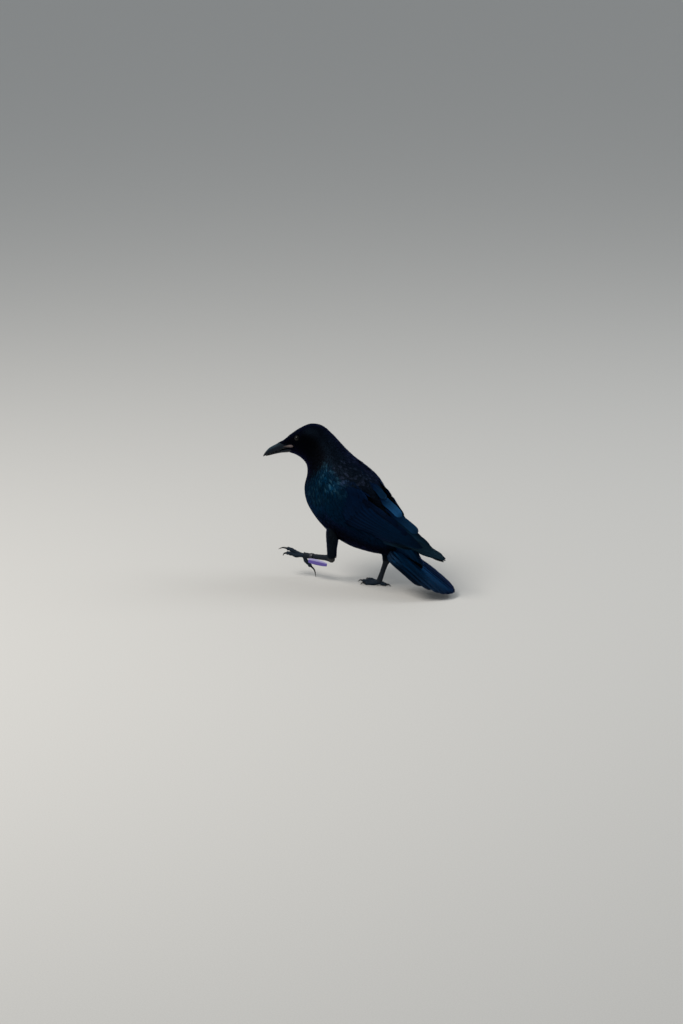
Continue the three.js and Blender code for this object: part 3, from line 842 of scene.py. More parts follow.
def make_skin():
    """One skin piece: the body's closed surface, and each thigh's closed form run into it."""
    at, angle = np.linspace(0.05, LAST - 0.02, 150), circle(128) - math.pi
    shapes, places = [closed(skin_place(at[:, None], angle[None]))], closed_places(at, angle)
    tints, maps = [body_tint(*places)], [body_map(*places)]
    for side, surface in thighs.items():
        u, v = np.linspace(0, THIGH_END, 40), circle(48)
        place, _, _, normal = surface.frame(np.stack(np.meshgrid(u, v, indexing="ij"), -1))
        shapes.append(closed(place - normal * (THIGH_DEPTH + SKIN_BELOW)))
        u, v = closed_places(u, v)
        tints.append(np.broadcast_to(THIGH_TINT, (len(u), 3)))
        maps.append(thigh_map(side, u, v))
    tints, maps = np.concatenate(tints), np.concatenate(maps)
    nodes = ("trunk", "neck", "head", "thigh_left", "thigh_right")
    add_piece("skin", joined(shapes), UNDERLAY, tints, nodes, bake=maps)


# ------------------------------------------------------------------ contour feathers
ROW_SHARES = np.array([0, 0.2, 0.42, 0.64, 0.85, 1.0])  # where a vane's rows lie along it
# Two outlines: a vane's width at each row, as a share of its whole width.
ROUND = [0.30, 0.66, 0.92, 1.0, 0.86, 0.42]
LANCE = [0.30, 0.66, 0.90, 0.88, 0.62, 0.16]
BACK_ENDS = math.radians(70)  # the back's piece of the coat ends and the breast's begin here
UNDER_TAIL = math.radians(115)  # from here down the coat goes on below the tail coverts
ROOT_SCATTER, ROW_SCATTER = 0.26, 0.22  # how far roots stray along and across their row, in shares of the gaps
STREAK_LINE = np.array([(-130, 146), (-120, 153), (-30, 192)], float)  # painted highlight streaks root above it, in side view
LID_GAP, MOUTH_GAP = 1.6, 2.6  # no feather roots this near the eyeball and the mouth's corner, in mm


def outlined(outline, wide):
    """Widths (n, rows, 2) below and above the shaft, from an outline's shares and whole widths (n,)."""
    return np.repeat(np.array(outline)[None, :, None] * (wide / 2)[:, None, None], 2, 2)


def raised(depth, most, n):
    """Lifts (n, rows): from a depth under the surface at the root up to the surface, a little uneven."""
    return -depth * (1 - ROW_SHARES**0.9) + scatter(most, (n, 1)) * ROW_SHARES


def body_flow(uv, du, _dv):
    """The lie of the coat: tailwards, and more steeply down on the sides of the breast."""
    at, angle = uv[..., 0], uv[..., 1]
    flank = round_ease(angle, 55, 90) * round_ease(angle, 170, 130)
    steep = 1.1 * flank * ease(at, 4.6, 6.4) * ease(at, 10.6, 9.0)
    return unit(-du) + np.array([0.0, 0.0, -1.0]) * steep[..., None]


def out_flow(_uv, du, _dv):
    """The lie of feathers that run straight along a limb or the bill."""
    return unit(du)


def width_share(at, angle):
    """A feather's width as a share of its length: narrow hackles on the breast and throat."""
    back = round_ease(angle, 85, 50)
    trunk = 0.24 + 0.18 * back + 0.1 * ease(at, 4.5, 2.5) - 0.08 * (1 - back) * ease(at, 5.0, 6.5)
    neck, head = 0.24 + 0.12 * back, 0.5
    return np.where(at > 11.5, head, np.where(at > 9, neck + (head - neck) * ease(at, 9.5, 11.5), trunk))


def body_rows(first, last, row_share, column_share):
    """Roots in staggered rows from section number first down to last.

    row_share is the rows' distance as a share of a feather's length, and column_share the roots'
    distance in a row as a share of its width.
    """
    roots, at, row = [], first, 0
    angles = np.linspace(-math.pi, math.pi, 721)
    while at > last:
        ring, ahead = (mounded(np.full_like(angles, where), angles) for where in (at, at - 0.1))
        long = by_section(COAT_LONG, at)
        wide = long * width_share(at, angles)
        step = size(np.diff(ring, axis=0)) / (column_share * (wide[1:] + wide[:-1]) / 2)
        count = np.concatenate([[0], np.cumsum(step)])
        total = int(count[-1])
        spots = (np.arange(total) + 0.5 * (row % 2)) * count[-1] / max(total, 1)
        spots = spots + scatter(ROOT_SCATTER, total)
        pace = row_share * long / (size(ahead - ring).mean() / 0.1)
        jitter = scatter(ROW_SCATTER, total) * pace
        roots.append(np.stack([at + jitter, np.interp(spots % count[-1], count, angles)], -1))
        at -= pace
        row += 1
    return np.concatenate(roots)


def covered(place, margin=4.0):
    """True where the closed wing's own feathers cover the body, by more than a margin."""
    return cover_grid(place[..., 0], place[..., 2]) > margin


def mirrored(place):
    """A place on the head on its left and on its right."""
    return [turned(place * [1, side, 1]) for side in SIDES]


def clear_of(points, place):
    """How far each place is from the nearest of some points."""
    return size(place[:, None] - points).min(-1)


def face(_at, _angle, place):
    """Where the head has feathers: outside the eyelids and the corners of the mouth."""
    path = along(GAPE_PATH, np.linspace(0, len(GAPE_PATH) - 1, 25))
    mouth = clear_of(np.concatenate(mirrored(path)), place)
    return (clear_of(np.array(mirrored(EYE)), place) > EYE_RADIUS + LID_GAP) & (mouth > MOUTH_GAP)


def open_body(at, angle, place):
    """Where the neck and trunk show: outside the wings' and the tail's own feathers."""
    round_it = off_back(angle)
    bare = ~covered(place) | (round_it < math.radians(BETWEEN_WINGS[0]))
    return bare & ((at > RUMP_FROM) | (round_it > UNDER_TAIL))


def back(at, angle, place):
    return open_body(at, angle, place) & (off_back(angle) < BACK_ENDS)


def breast(side):
    def keep(at, angle, place):
        way = np.sign((angle + math.pi) % (2 * math.pi) - math.pi)
        return open_body(at, angle, place) & (off_back(angle) >= BACK_ENDS) & (way == side)
    return keep


def highlight_streak_share(at, angle):
    """Where the lower neck's and upper breast's hackles get painted highlights, as lighter streaks."""
    x, _, z = mounded(at, angle).T
    above = z - np.interp(x, *STREAK_LINE.T)
    return round_ease(angle, 42, 62) * ease(above, -10, 6) * ease(at, 9.6, 7.8) * ease(x, -36, -70)


def tip_highlight_share(at, angle):
    """How strongly each feather has a painted purple-grey highlight at its tip: some of those on the mantle's
    sides.
    """
    zone = round_ease(angle, 66, 50) * ease(at, 4.6, 5.6) * ease(at, 9.0, 8.3)
    return 0.8 * zone * (rng.random(len(at)) < 0.28)


def coat(name, first, last, keep, row_share, column_share, outline, ragged, spread=0.2):
    """A piece of the body's coat between two section numbers, where keep says so."""
    roots = body_rows(first, last, row_share, column_share)
    roots = roots[keep(*roots.T, mounded(*roots.T))]
    long = by_section(COAT_LONG, roots[:, 0]) * uneven(0.12, len(roots))
    line = walk(body_surface, roots, long, len(ROW_SHARES), body_flow)
    ends = mounded(line[:, -1, 0], line[:, -1, 1])
    between = off_back(roots[:, 1]) < math.radians(BETWEEN_WINGS[0])
    free = ~covered(ends, 12) | (ends[:, 0] < -30) | between  # feathers that end far under the wing go
    at, angle = roots[free].T
    n = len(at)
    wide = long[free] * width_share(at, angle) * uneven(0.1, n)
    lift = raised(by_section(COAT_DEPTH, at)[:, None], 0.12, n)
    made = vanes(body_surface, line[free], ROW_SHARES, outlined(outline, wide), lift,
                 sag=0.1, pull=0.1, thick=0.16, ragged=ragged)
    # painted highlight: some hackles in the streak zone get lighter streaks, and the others there vary darker
    # at random
    streaks = highlight_streak_share(at, angle)
    highlight_strength = (rng.random(n) < 0.3) * rng.uniform(0.3, 1.0, n) * streaks
    base = body_tint(at, angle) * rng.uniform(1 - 0.55 * streaks, 1, n)[:, None]
    tint = feather_tint(mix(base, STREAK_HIGHLIGHT, 0.85 * highlight_strength), made[3], spread, tip_highlight_share(at, angle))
    add_vanes(name, made, CONTOUR, tint, body_map(at, angle))


def make_coat():
    coat("coat_face", 14.9, 13.2, face, 0.32, 0.55, ROUND, 0.03, 0.15)
    coat("coat_crown", 13.2, 10.9, face, 0.32, 0.55, ROUND, 0.04, 0.15)
    coat("coat_neck", 10.9, 8.4, open_body, 0.24, 0.5, LANCE, 0.05)
    coat("coat_back", 8.4, 0.9, back, 0.25, 0.48, ROUND, 0.04)
    coat("coat_breast_left", 8.4, 0.9, breast(LEFT), 0.22, 0.5, LANCE, 0.06)
    coat("coat_breast_right", 8.4, 0.9, breast(RIGHT), 0.22, 0.5, LANCE, 0.06)


THIGH_ROWS = 0.15, 2.76  # the first row's place down the thigh, and where they end
THIGH_PACE = 0.26  # the rows' and roots' distance, as a share of a feather's length
THIGH_WIDE = 0.46


def thigh_long(u):
    return np.interp(u, [0, 1.5, THIGH_END], [17, 11, 6.5])


def make_thighs():
    """Short close feathers down each thigh to the heel."""
    for side, surface in thighs.items():
        roots, row = [], 0
        u, last = THIGH_ROWS
        while u < last:
            here, ahead = surface.place(np.array([u, u + 0.1]), 0)
            long = thigh_long(u)
            pace = long * 0.1 / size(ahead - here)
            radius = np.interp(u, range(4), [r for _, r in THIGH_STOPS[side]])
            count = int(2 * math.pi * radius / (THIGH_PACE * long))
            v = (np.arange(count) + 0.5 * (row % 2) + scatter(0.2, count)) * 2 * math.pi / count
            roots.append(np.stack([u + scatter(0.1, count) * pace, v], -1))
            u += THIGH_PACE * pace
            row += 1
        roots = np.concatenate(roots)
        n = len(roots)
        long = thigh_long(roots[:, 0]) * uneven(0.15, n)
        long = np.minimum(long, (THIGH_END - roots[:, 0]) * 18 + scatter(1.2, n))  # none ends past the heel
        line = walk(surface, roots, long, len(ROW_SHARES), out_flow)
        wide, lift = outlined(LANCE, long * THIGH_WIDE), raised(THIGH_DEPTH, 0.15, n)
        made = vanes(surface, line, ROW_SHARES, wide, lift, sag=0.2, thick=0.2, ragged=0.06)
        tint = feather_tint(np.broadcast_to(THIGH_TINT, (n, 3)), made[3], 0.3)
        add_vanes(f"coat_thigh_{SIDES[side]}", made, CONTOUR, tint, thigh_map(side, *roots.T))


# ------------------------------------------------------------------ wing and tail feathers
QUILL_SHARES = np.concatenate([np.linspace(0, 0.72, 9), [0.80, 0.87, 0.92, 0.96, 0.985, 1.0]])
QUILL_COLUMNS = (-1, -0.66, -0.3, -0.07, 0, 0.07, 0.3, 0.66, 1)
TUCK = np.array([-9, -8])  # the right wing's tip lies this much under the left one's, in x and z
HIND_TINT = mix(DEEP_BLUE, TEAL, 0.45)  # the secondaries' and tail's open parts


def quill(side, root, tip, lift, widths, base, end, blunt, control=None, bow=0.0, outer=0):
    """A flight feather: its shaft's curve, its rows' widths and lifts, its colours and its outer side.

    lift is for its root, middle and tip, and widths are before and behind the shaft. bow is how far
    its middle lies off the straight line, unless control is given. The tip is rounded from share
    blunt on. outer is the way of its outer edge, away from which it gets painted overlap shade, or 0 where it
    has none.
    """
    root, tip, t = np.array(root, float), np.array(tip, float), QUILL_SHARES[:, None]
    if control is None:
        run = tip - root
        control = (root + tip) / 2 + np.array([-run[1], run[0]]) / np.linalg.norm(run) * bow * 2
    shaft = (1 - t) ** 2 * root + 2 * (1 - t) * t * np.array(control) + t**2 * tip
    rounded = np.sqrt(np.clip(1 - (np.clip(t - blunt, 0, 1) / (1 - blunt)) ** 2, 0.004, 1))
    wide = (0.35 + 0.65 * ease(t, 0.0, 0.4)) * rounded * np.array(widths[::-side])
    return shaft, wide, np.interp(QUILL_SHARES, [0, 0.5, 1], lift), base, end, outer


def add_quills(name, surface, feathers, nodes, root_map):
    """A piece of quills that lie one over the other on a surface."""
    lines, wides, lifts, base, end, outer = (np.array(values, float) for values in zip(*feathers))
    made = vanes(surface, lines, QUILL_SHARES, wides, lifts, columns=QUILL_COLUMNS,
                 sag=0.07, pull=0.0, thick=0.3, rachis=0.28, full=True)
    share, cross = made[3:]
    tint = mix(base[:, None], end[:, None], ease(share, 0.2, 0.8)) * uneven(0.1, (len(base), 1, 1))
    outer = outer[:, None]
    # painted shade on the side that the next feather overlaps, and a painted highlight along both edges
    overlap_shade = 0.4 * np.abs(outer) * ease(cross * outer, 0.45, -0.1)
    rim_highlight = 0.2 * ease(np.abs(cross), 0.75, 1.0)
    shaft, dark_end = np.where(np.abs(cross) < 0.01, 0.7, 1.0), 0.4 * ease(share, 0.84, 1.0)
    tint = tint * ((1 - overlap_shade + rim_highlight) * shaft * (1 - dark_end))[..., None]
    add_vanes(name, made, FLIGHT, tint, root_map(lines[:, 0]), nodes, QUILL_PATCH, 40)


def tucked(side, xz):
    """A side-view place on the left wing, where it lies on this side's wing."""
    xz = np.asarray(xz, float)
    return xz if side == LEFT else xz + TUCK * ease(xz[..., :1], 25, 90)


def room(x):
    """How deep the closed wing's stack of feathers is at x."""
    return np.interp(x, [10, 60, 100, 131], [4.6, 3.8, 2.2, 1.2])


PRIMARY_TIPS = [
    (84, 79), (106, 73), (121, 69.6), (130, 68.6), (130, 71.6), (124, 75.8), (114, 80), (102, 86), (90, 91),
]
# Root, tip and bow of the inner feathers along the upper edge, in the tertials' shade.
INNER = [
    ((2, 168), (108, 81.5), -5.5), ((0, 171), (100, 88.5), -5),
    ((-2, 174), (86, 99), -4.5), ((-4, 177), (72, 112), -3),
]
# Root, tip and level of the vanes that fill the hollow below the tertials, dark as painted shade.
SHADE_FILLERS = [((16, 142), (64, 106), 0.88), ((0, 156), (48, 119), 0.89), ((-16, 170), (30, 134), 0.9)]
# The tertials are broad: root, tip, level, widths, bow, blunt, the strength of the tip's painted
# highlight, and how far the middle and the tip stand off on the left wing.
TERTIALS = [
    ((22, 147), (77, 107.5), 0.84, (6.2, 7.6), 1.2, 0.86, 0.6, (1.5, 1.2)),
    ((4, 170), (48, 133), 0.93, (6.4, 7.4), 1.0, 0.84, 1.5, (1.9, 1.8)),
    ((-10, 188), (20, 160), 1.0, (5.8, 6.4), 0.8, 0.8, 0.5, (2.2, 2.2)),
]


def flight_feathers(side):
    """The closed wing's quills, from the outermost primary at the bottom to the tertials on top.

    A feather's level goes from 0 for the deepest to 1 for the outermost.
    """
    found = []

    def add(root, tip, level, widths, bow, blunt, base, end, stand=(0, 0), outer=side):
        root, tip = tucked(side, root), tucked(side, tip)
        xs = (root[0], (root[0] + tip[0]) / 2, tip[0])
        lift = [-room(x) * (1 - level) - 0.3 + more for x, more in zip(xs, (0, *stand))]
        found.append(quill(side, root, tip, lift, widths, base, end, blunt, bow=bow, outer=outer))

    for k, (root, tip) in enumerate(zip(spaced((-58, 112), (-26, 126), 9), PRIMARY_TIPS)):
        add(root, tip, 0.03 + 0.05 * k, (3.4, 7.5), -2.6 + 0.3 * k, 0.62,
            mix(DEEP_BLUE, TEAL, 0.4) * 0.8, TIP_GREY * (0.75 + 0.05 * k))
    for k, (root, tip, bow) in enumerate(INNER):
        add(root, tip, 0.34 + 0.08 * k, (5.0, 4.6), bow, 0.8,
            DEEP_BLUE * 0.6, mix(TIP_GREY, TEAL, 0.15 + 0.2 * k) * 0.9)
    secondaries = zip(spaced((-50, 120), (-16, 176), 9), spaced((90, 86), (71, 103), 9))
    for k, (root, tip) in enumerate(secondaries):
        add(root, tip, 0.5 + 0.045 * k, (4.0, 7.5 - 0.38 * k), -1.2 - 0.78 * k, 0.82,
            DEEP_BLUE * (0.85 + 0.04 * k), HIND_TINT * 0.9)
    # the fillers are dark as painted shade in the hollow below the tertials
    for root, tip, level in SHADE_FILLERS:
        add(root, tip, level, (6.0, 6.0), -0.6, 0.8, DEEP_BLUE * 0.35, DEEP_BLUE * 0.55, outer=0)
    # the tertials' tips get a painted highlight
    for root, tip, level, widths, bow, blunt, highlight_strength, stand in TERTIALS:
        stand = stand if side == LEFT else (0, 0)
        add(root, tip, level, widths, bow, blunt, DEEP_BLUE * 0.8, TERTIAL_HIGHLIGHT * highlight_strength, stand, outer=0)
    return found


CORE_LOW = [(-62, 124), (-40, 118), (0, 103), (45, 98), (66, 88), (88, 77), (112, 71), (128, 69)]
CORE_HIGH = [(-58, 168), (-30, 184), (4, 170), (34, 142), (62, 118), (88, 96), (114, 79), (129, 70)]
CORE_THICK = 1.0


def make_shade_sheet(side, surface):
    """A thin sheet under the quills, dark as painted shade, which closes the gaps between them."""
    u = np.linspace(0, len(CORE_LOW) - 1, 50)
    low, high = (tucked(side, along(edge, u))[:, None] for edge in (CORE_LOW, CORE_HIGH))
    share = np.linspace(0.02, 0.98, 10)[None, :, None]
    flat = low * (1 - share) + high * share
    place, _, _, up = surface.frame(flat)
    deep = room(flat[..., 0])[..., None] + 0.5
    outer, inner = place - up * deep, place - up * (deep + CORE_THICK)
    shape = closed(np.concatenate([outer, inner[:, ::-1]], 1))
    add_piece(f"wing_{SIDES[side]}_core", shape, UNDERLAY, INK)


def make_wings():
    for side, word in SIDES.items():
        surface = wing_surface(side)
        name = f"wing_{word}"
        add_quills(name + "_quills", surface, flight_feathers(side), (name,), lambda xz: wing_map(side, xz))
        make_shade_sheet(side, surface)
        make_coverts(side, surface)


COVERT_SHARES = np.array([0, 0.2, 0.4, 0.6, 0.78, 0.9, 1.0])
COVERT_OUTLINE = [0.35, 0.72, 0.95, 1.0, 0.9, 0.68, 0.3]
# The coverts' hind edge in side view, from the scapulars down to the wing's lower edge.
COVERT_EDGE = np.array([
    (-42, 196), (-27, 193), (-9, 184.5), (1, 174.5), (4, 163), (-2, 153), (-11, 143), (-24, 131),
    (-40, 119), (-60, 110),
], float)
WRIST = np.array([-84.0, 160.0])
# Each row of tips lies on a copy of that edge, at this share of its distance from the wrist.
COVERT_ROWS = [1.0, 0.87, 0.79, 0.71, 0.63, 0.55, 0.47, 0.39, 0.31, 0.23]


def covert_slope(xz):
    """The coverts' lie in the side view: back along the wing, and more steeply down near its upper edge."""
    share = ease(xz[..., 1] + 0.55 * (xz[..., 0] + 60), 105, 190)
    return -np.radians(16 + 32 * share)


def covert_flow(uv, du, dv):
    slope = covert_slope(uv)[..., None]
    return du * np.cos(slope) + dv * np.sin(slope)


def covert_rows():
    """Rows of coverts whose tips lie on copies of their hind edge: (tips, length, width, level) each."""
    rows = []
    for k, share in enumerate(COVERT_ROWS):
        edge = WRIST + (along(COVERT_EDGE, np.linspace(0, len(COVERT_EDGE) - 1, 200)) - WRIST) * share
        run = run_along(edge)
        greater = k == 0
        long, wide, level = (32, 12, 0.82) if greater else (20 - 0.9 * k, 10 - 0.55 * k, 0.9 + 0.012 * k)
        count = int(run[-1] / (0.5 * wide))
        spots = (np.arange(count) + 0.5 * (k % 2) + scatter(0.2, count)) * run[-1] / count
        x, z = (np.interp(spots, run, values) for values in edge.T)
        shown = (inside(WING_COVER, x, z) > -1.5) & ((x > -40) | (z < 165))
        rows.append((np.stack([x, z], -1)[shown], long, wide, level))
    return rows


def covert_tint(places):
    """The coverts' colour: the breast's in front, and deep blue towards the quills."""
    hind = mix(mix(TEAL, NAVY, 0.6), DEEP_BLUE * 0.8, ease(places[..., 0], -72, -25))
    return mix(hind, SLATE * 0.8, 0.6 * ease(places[..., 1], 172, 190))


def make_coverts(side, surface):
    """Greater, median and lesser coverts over the quills' roots."""
    lines, wides, lifts = [], [], []
    for tips, long, wide, level in covert_rows():
        tips = tucked(side, tips)
        n = len(tips)
        long = long * uneven(0.07, n)
        slope = covert_slope(tips)
        roots = tips - np.stack([np.cos(slope), np.sin(slope)], -1) * long[:, None]
        lines.append(walk(surface, roots, long, len(COVERT_SHARES), covert_flow))
        wides.append(outlined(COVERT_OUTLINE, np.full(n, wide)))
        deep = room(roots[:, 0])[:, None] * (1.0 - level) + 1.3 * (1 - COVERT_SHARES[None] ** 0.8)
        lifts.append(-deep + scatter(0.08, (n, 1)))
    lines, wides, lifts = (np.concatenate(values) for values in (lines, wides, lifts))
    made = vanes(surface, lines, COVERT_SHARES, wides, lifts, columns=(-1, -0.55, -0.1, 0, 0.1, 0.55, 1),
                 sag=0.08, pull=0.07, thick=0.2, rachis=0.05, ragged=0.02)
    tint = covert_tint(lines[:, -1])[:, None] * uneven(0.12, (len(lines), 1, 1))
    # painted shade: darker towards the root, where the row before covers it, and a little lighter at the tip
    run = 0.75 + 0.25 * ease(made[3], 0.1, 0.6) + 0.12 * ease(made[3], 0.85, 1.0)
    add_vanes(f"wing_{SIDES[side]}_coverts", made, FLIGHT, tint * run[None, :, None],
              wing_map(side, lines[:, 0]))


# From the middle pair outwards: the tip's place along the tail and off its middle, and its brightness.
TAIL_PAIRS = [
    (6.9, 3, 1.15), (6.5, 9, 1.3), (5.9, 15, 1.3), (5.1, 21, 1.1), (4.2, 27, 0.7), (3.4, 32.5, 0.35),
]
# Degrees off the back, and the section number at the tip.
TAIL_COVERTS = [(118, 1.1), (92, 0.85), (66, 0.6), (40, 0.45), (14, 0.3)]


def make_tail():
    """Twelve tail feathers, the middle pair on top and each next one lower and shorter."""
    feathers = []
    for k, (tip, off, light) in reversed(list(enumerate(TAIL_PAIRS))):
        for way in SIDES:
            root, control = (-0.2, way * (0.04 + 0.05 * k)), (1.0, way * (0.04 + 0.165 * k))
            lift = [-0.5 - 0.5 * k, -0.25 - 0.36 * k + 0.12 * way, -0.1 - 0.15 * k + 0.1 * way]
            widths = (3.4 + 0.8 * (5 - k), 9.5)[::-way]  # the outer web is the narrow one
            base, end = HIND_TINT * 2.1 * light, mix(DEEP_BLUE, TEAL, 0.6) * 0.7 * light
            feathers.append(quill(
                LEFT, root, (tip, way * off / TAIL_WIDE), lift, widths, base, end, 0.86, control, outer=way))

    def tail_map(roots):
        return on_map(TAIL_MAP, (roots[:, 1] + 1) / 2, (roots[:, 0] + 0.5) / 7.5)

    add_quills("tail_quills", Surface(tail_place), feathers, ("tail",), tail_map)


def make_tail_coverts():
    """Long feathers over the tail's root, from the sides up to the pair on the middle line."""
    feathers = []
    for k, (degrees, end) in enumerate(TAIL_COVERTS):
        for way in SIDES:
            angle = way * math.radians(degrees)
            lift = [-2.6 + 0.3 * k, -1.2 + 0.25 * k, -0.6 + 0.15 * k + 0.06 * way]
            root, tip, control = (3.0, angle), (end, angle * 0.9), (1.8, angle)
            blue = mix(DEEP_BLUE, TEAL, 0.15 + 0.15 * k) * (1.0 + 0.1 * k)
            feathers.append(quill(LEFT, root, tip, lift, (7.0, 7.0), DEEP_BLUE * 0.8, blue, 0.7, control))
    add_quills("tail_coverts", body_surface, feathers, (), lambda roots: body_map(*roots.T))


# ------------------------------------------------------------------ bill
# Each stop from the gape to the tip: x, the top's and the bottom's height, and half the width.
UPPER_BILL = np.array([
    [-154, 236.5, 229, 16], [-165, 240.5, 226, 12.4], [-178, 235, 221, 8.8], [-190, 228.2, 215.7, 6.8],
    [-201, 221, 210.6, 4.8], [-208, 213, 207, 2.8], [-211.5, 207.5, 205, 1],
])
LOWER_BILL = np.array([
    [-156, 227.5, 221, 14.2], [-165, 225.5, 217.3, 11.6], [-178, 220.6, 215, 8], [-190, 215.2, 211.6, 5.9],
    [-200, 210.8, 208.2, 3.9], [-206.5, 207.6, 206.2, 1.8],
])
BILL_TINT = np.array([0.0038, 0.0066, 0.0110])
# painted highlight along the upper bill's sides
BILL_HIGHLIGHT = np.array([0.0130, 0.0280, 0.0400])
BILL_PALE = np.array([0.040, 0.042, 0.046])
GAPE_TINT = np.array([0.105, 0.080, 0.078])
GAPE_PATH = np.array([
    [-172, 10.6, 228.4], [-166.5, 12.2, 230.2], [-161, 14.0, 231.6], [-155.5, 15.6, 232.6],
    [-150.5, 16.1, 233.0],
])
BRISTLE_SHARES = np.array([0, 0.3, 0.6, 0.85, 1.0])
BRISTLE_OUTLINE = np.array([0.6, 1.0, 0.85, 0.45, 0.1])
BROW = 3.4  # the forehead stands this far off the bill


def mandible_surface(stops, ridge):
    """Half a bill: u runs from the gape to the tip, and v round it from its top.

    ridge is 1 for the upper half and -1 for the lower.
    """
    def place(u, v):
        u, v = numbers(u, v)
        x, top, low, half = np.moveaxis(along(stops, u), -1, 0)
        up = np.cos(v)
        flat = np.where(up * ridge < 0, -ridge * np.abs(up) ** 0.4, up)
        out = np.sin(v) * (1 - ridge * up * 0.3)
        return turned(np.stack([x, half * out, (top + low) / 2 + (top - low) / 2 * flat], -1))
    return Surface(place)


def with_ends(tint):
    """A tube's colours, with those of the two points that close its ends."""
    return np.concatenate([tint, tint[:1], tint[-1:]])


def make_bill():
    rings, sides = 64, 48
    for name, stops, ridge in (("bill_upper", UPPER_BILL, 1), ("bill_lower", LOWER_BILL, -1)):
        share, v = np.linspace(0, 1, rings) ** 0.9, circle(sides)
        places = mandible_surface(stops, ridge).place((share * (len(stops) - 1))[:, None], v[None])
        far, high = np.repeat(share, sides), np.tile(np.cos(v), rings)
        pale = ease(far, 0.9, 1.0) * 0.3 + ease(ridge * -high, 0.2, 0.9) * 0.12
        # painted highlight: a lighter blue band along the upper bill's sides
        ridge_highlight = ease(high, 0.15, 0.7) * ease(far, 0.25, 0.5) * ease(far, 0.85, 0.65) * (ridge > 0)
        tint = mix(mix(BILL_TINT, BILL_HIGHLIGHT, ridge_highlight), BILL_PALE, pale)
        add_piece(name + "_horn", closed(places), HORN, with_ends(tint), (name,), sharp=70)


def make_gape():
    """The pale fleshy corner of the mouth on each side, running back below the eye."""
    for word, path in zip(SIDES.values(), mirrored(GAPE_PATH)):
        shape = swept(path, [0.4, 1.1, 1.9, 2.3, 0.9], [0.55] * 5, sides=20, steps=8)
        pale = ease(size(shape[0] - path[-2]), 17, 2)
        add_piece(f"gape_{word}", shape, GAPE, mix(GAPE_TINT * 0.35, GAPE_TINT, pale))


def make_bristles():
    """Stiff feathers that run forwards from the forehead over the base of the upper bill."""
    u, v = (m.ravel() for m in np.meshgrid(np.linspace(0.6, 1.9, 14), np.linspace(-1.0, 1.0, 31)))
    u = u + scatter(0.06, len(u)) - np.abs(v) ** 1.6
    u, v = u[u > 0.1], v[u > 0.1]
    n = len(u)
    roots = np.stack([u, 1.6 * v + scatter(0.03, n)], -1)
    long = rng.uniform(7.5, 10.0, n) * (1 - 0.3 * np.abs(v))
    surface = mandible_surface(UPPER_BILL, 1)
    line = walk(surface, roots, long, len(BRISTLE_SHARES), out_flow)
    wide = outlined(BRISTLE_OUTLINE, 2 * rng.uniform(0.5, 0.75, n))
    brow = BROW * ease(u, 1.9, 1.0) * ease(np.abs(v), 0.9, 0.3)
    lift = 0.25 + brow[:, None] * (1 - BRISTLE_SHARES) ** 1.4
    lift = lift + rng.uniform(-0.1, 0.3, (n, 1)) * BRISTLE_SHARES
    made = vanes(surface, line, BRISTLE_SHARES, wide, lift, sag=0.3, thick=0.3, columns=(-1, 0, 1), pull=0.0)
    tint = feather_tint(np.broadcast_to(INK * 0.7, (n, 3)), made[3], 0.3)
    add_vanes("coat_bristles", made, CONTOUR, tint, body_map(LAST + 0.3, roots[:, 1]))


# ------------------------------------------------------------------ eyes
PUPIL = np.array([0.0008, 0.0008, 0.0010])
IRIS = np.array([0.0014, 0.0009, 0.0008])
# Each lid's fold: the angle off the eye's axis, its thickness, and its distance as a share of the radius.
LIDS = [(1.0, 0.5, 1.04), (1.18, 0.62, 1.02)]
GAZE = np.array([-0.42, 0.9, 0.10])  # the left eye's, with its own side positive


def wheel(angles, across, up):
    """Unit vectors at some angles round an axis."""
    return across * np.cos(angles)[:, None] + up * np.sin(angles)[:, None]


def make_eyes():
    rings, sides = 40, 48
    for side, word in SIDES.items():
        eye = EYE * [1, side, 1]
        centre = turned(eye)
        look = unit(turned(eye + GAZE * [1, side, 1]) - centre)
        across = unit(np.cross([0, 0, 1.0], look))
        up = np.cross(look, across)
        polar = np.linspace(0.02, math.pi - 0.02, rings)[:, None]
        bulge = EYE_RADIUS * (1 + 0.05 * np.exp(-((polar / 0.6) ** 2)))
        spokes = wheel(circle(sides), across, up)
        ring = (look * np.cos(polar) * bulge)[:, None] + spokes * (np.sin(polar) * bulge)[:, None]
        iris = np.repeat(ease(polar, 0.30, 0.42) * ease(polar, 0.95, 0.75), sides)
        tint = with_ends(mix(PUPIL, IRIS, iris))
        add_piece(f"eye_{word}_ball", closed(centre + ring), EYE_WET, tint, (f"eye_{word}",))
        lids = []
        for spread, thick, out in LIDS:
            a, b = circle(48), circle(12)[None, :, None]
            rim = (spread * (1 + 0.07 * np.cos(2 * a)))[:, None]
            outward = look * np.cos(rim) + wheel(a, across, up) * np.sin(rim)
            middle = centre + EYE_RADIUS * out * outward
            flat = np.cross(unit(np.roll(middle, -1, 0) - np.roll(middle, 1, 0)), outward)
            folds = thick * (1 + 0.12 * np.cos(24 * a)[:, None, None])
            fold = outward[:, None] * 0.6 * np.cos(b) + flat[:, None] * np.sin(b)
            lids.append(closed(middle[:, None] + folds * fold, loop=True))
        add_piece(f"eyelids_{word}", joined(lids), LID, INK)


# ------------------------------------------------------------------ legs
SCUTE_TINT = np.array([0.0110, 0.0150, 0.0215])
TOE_TINT = np.array([0.0100, 0.0185, 0.0310])
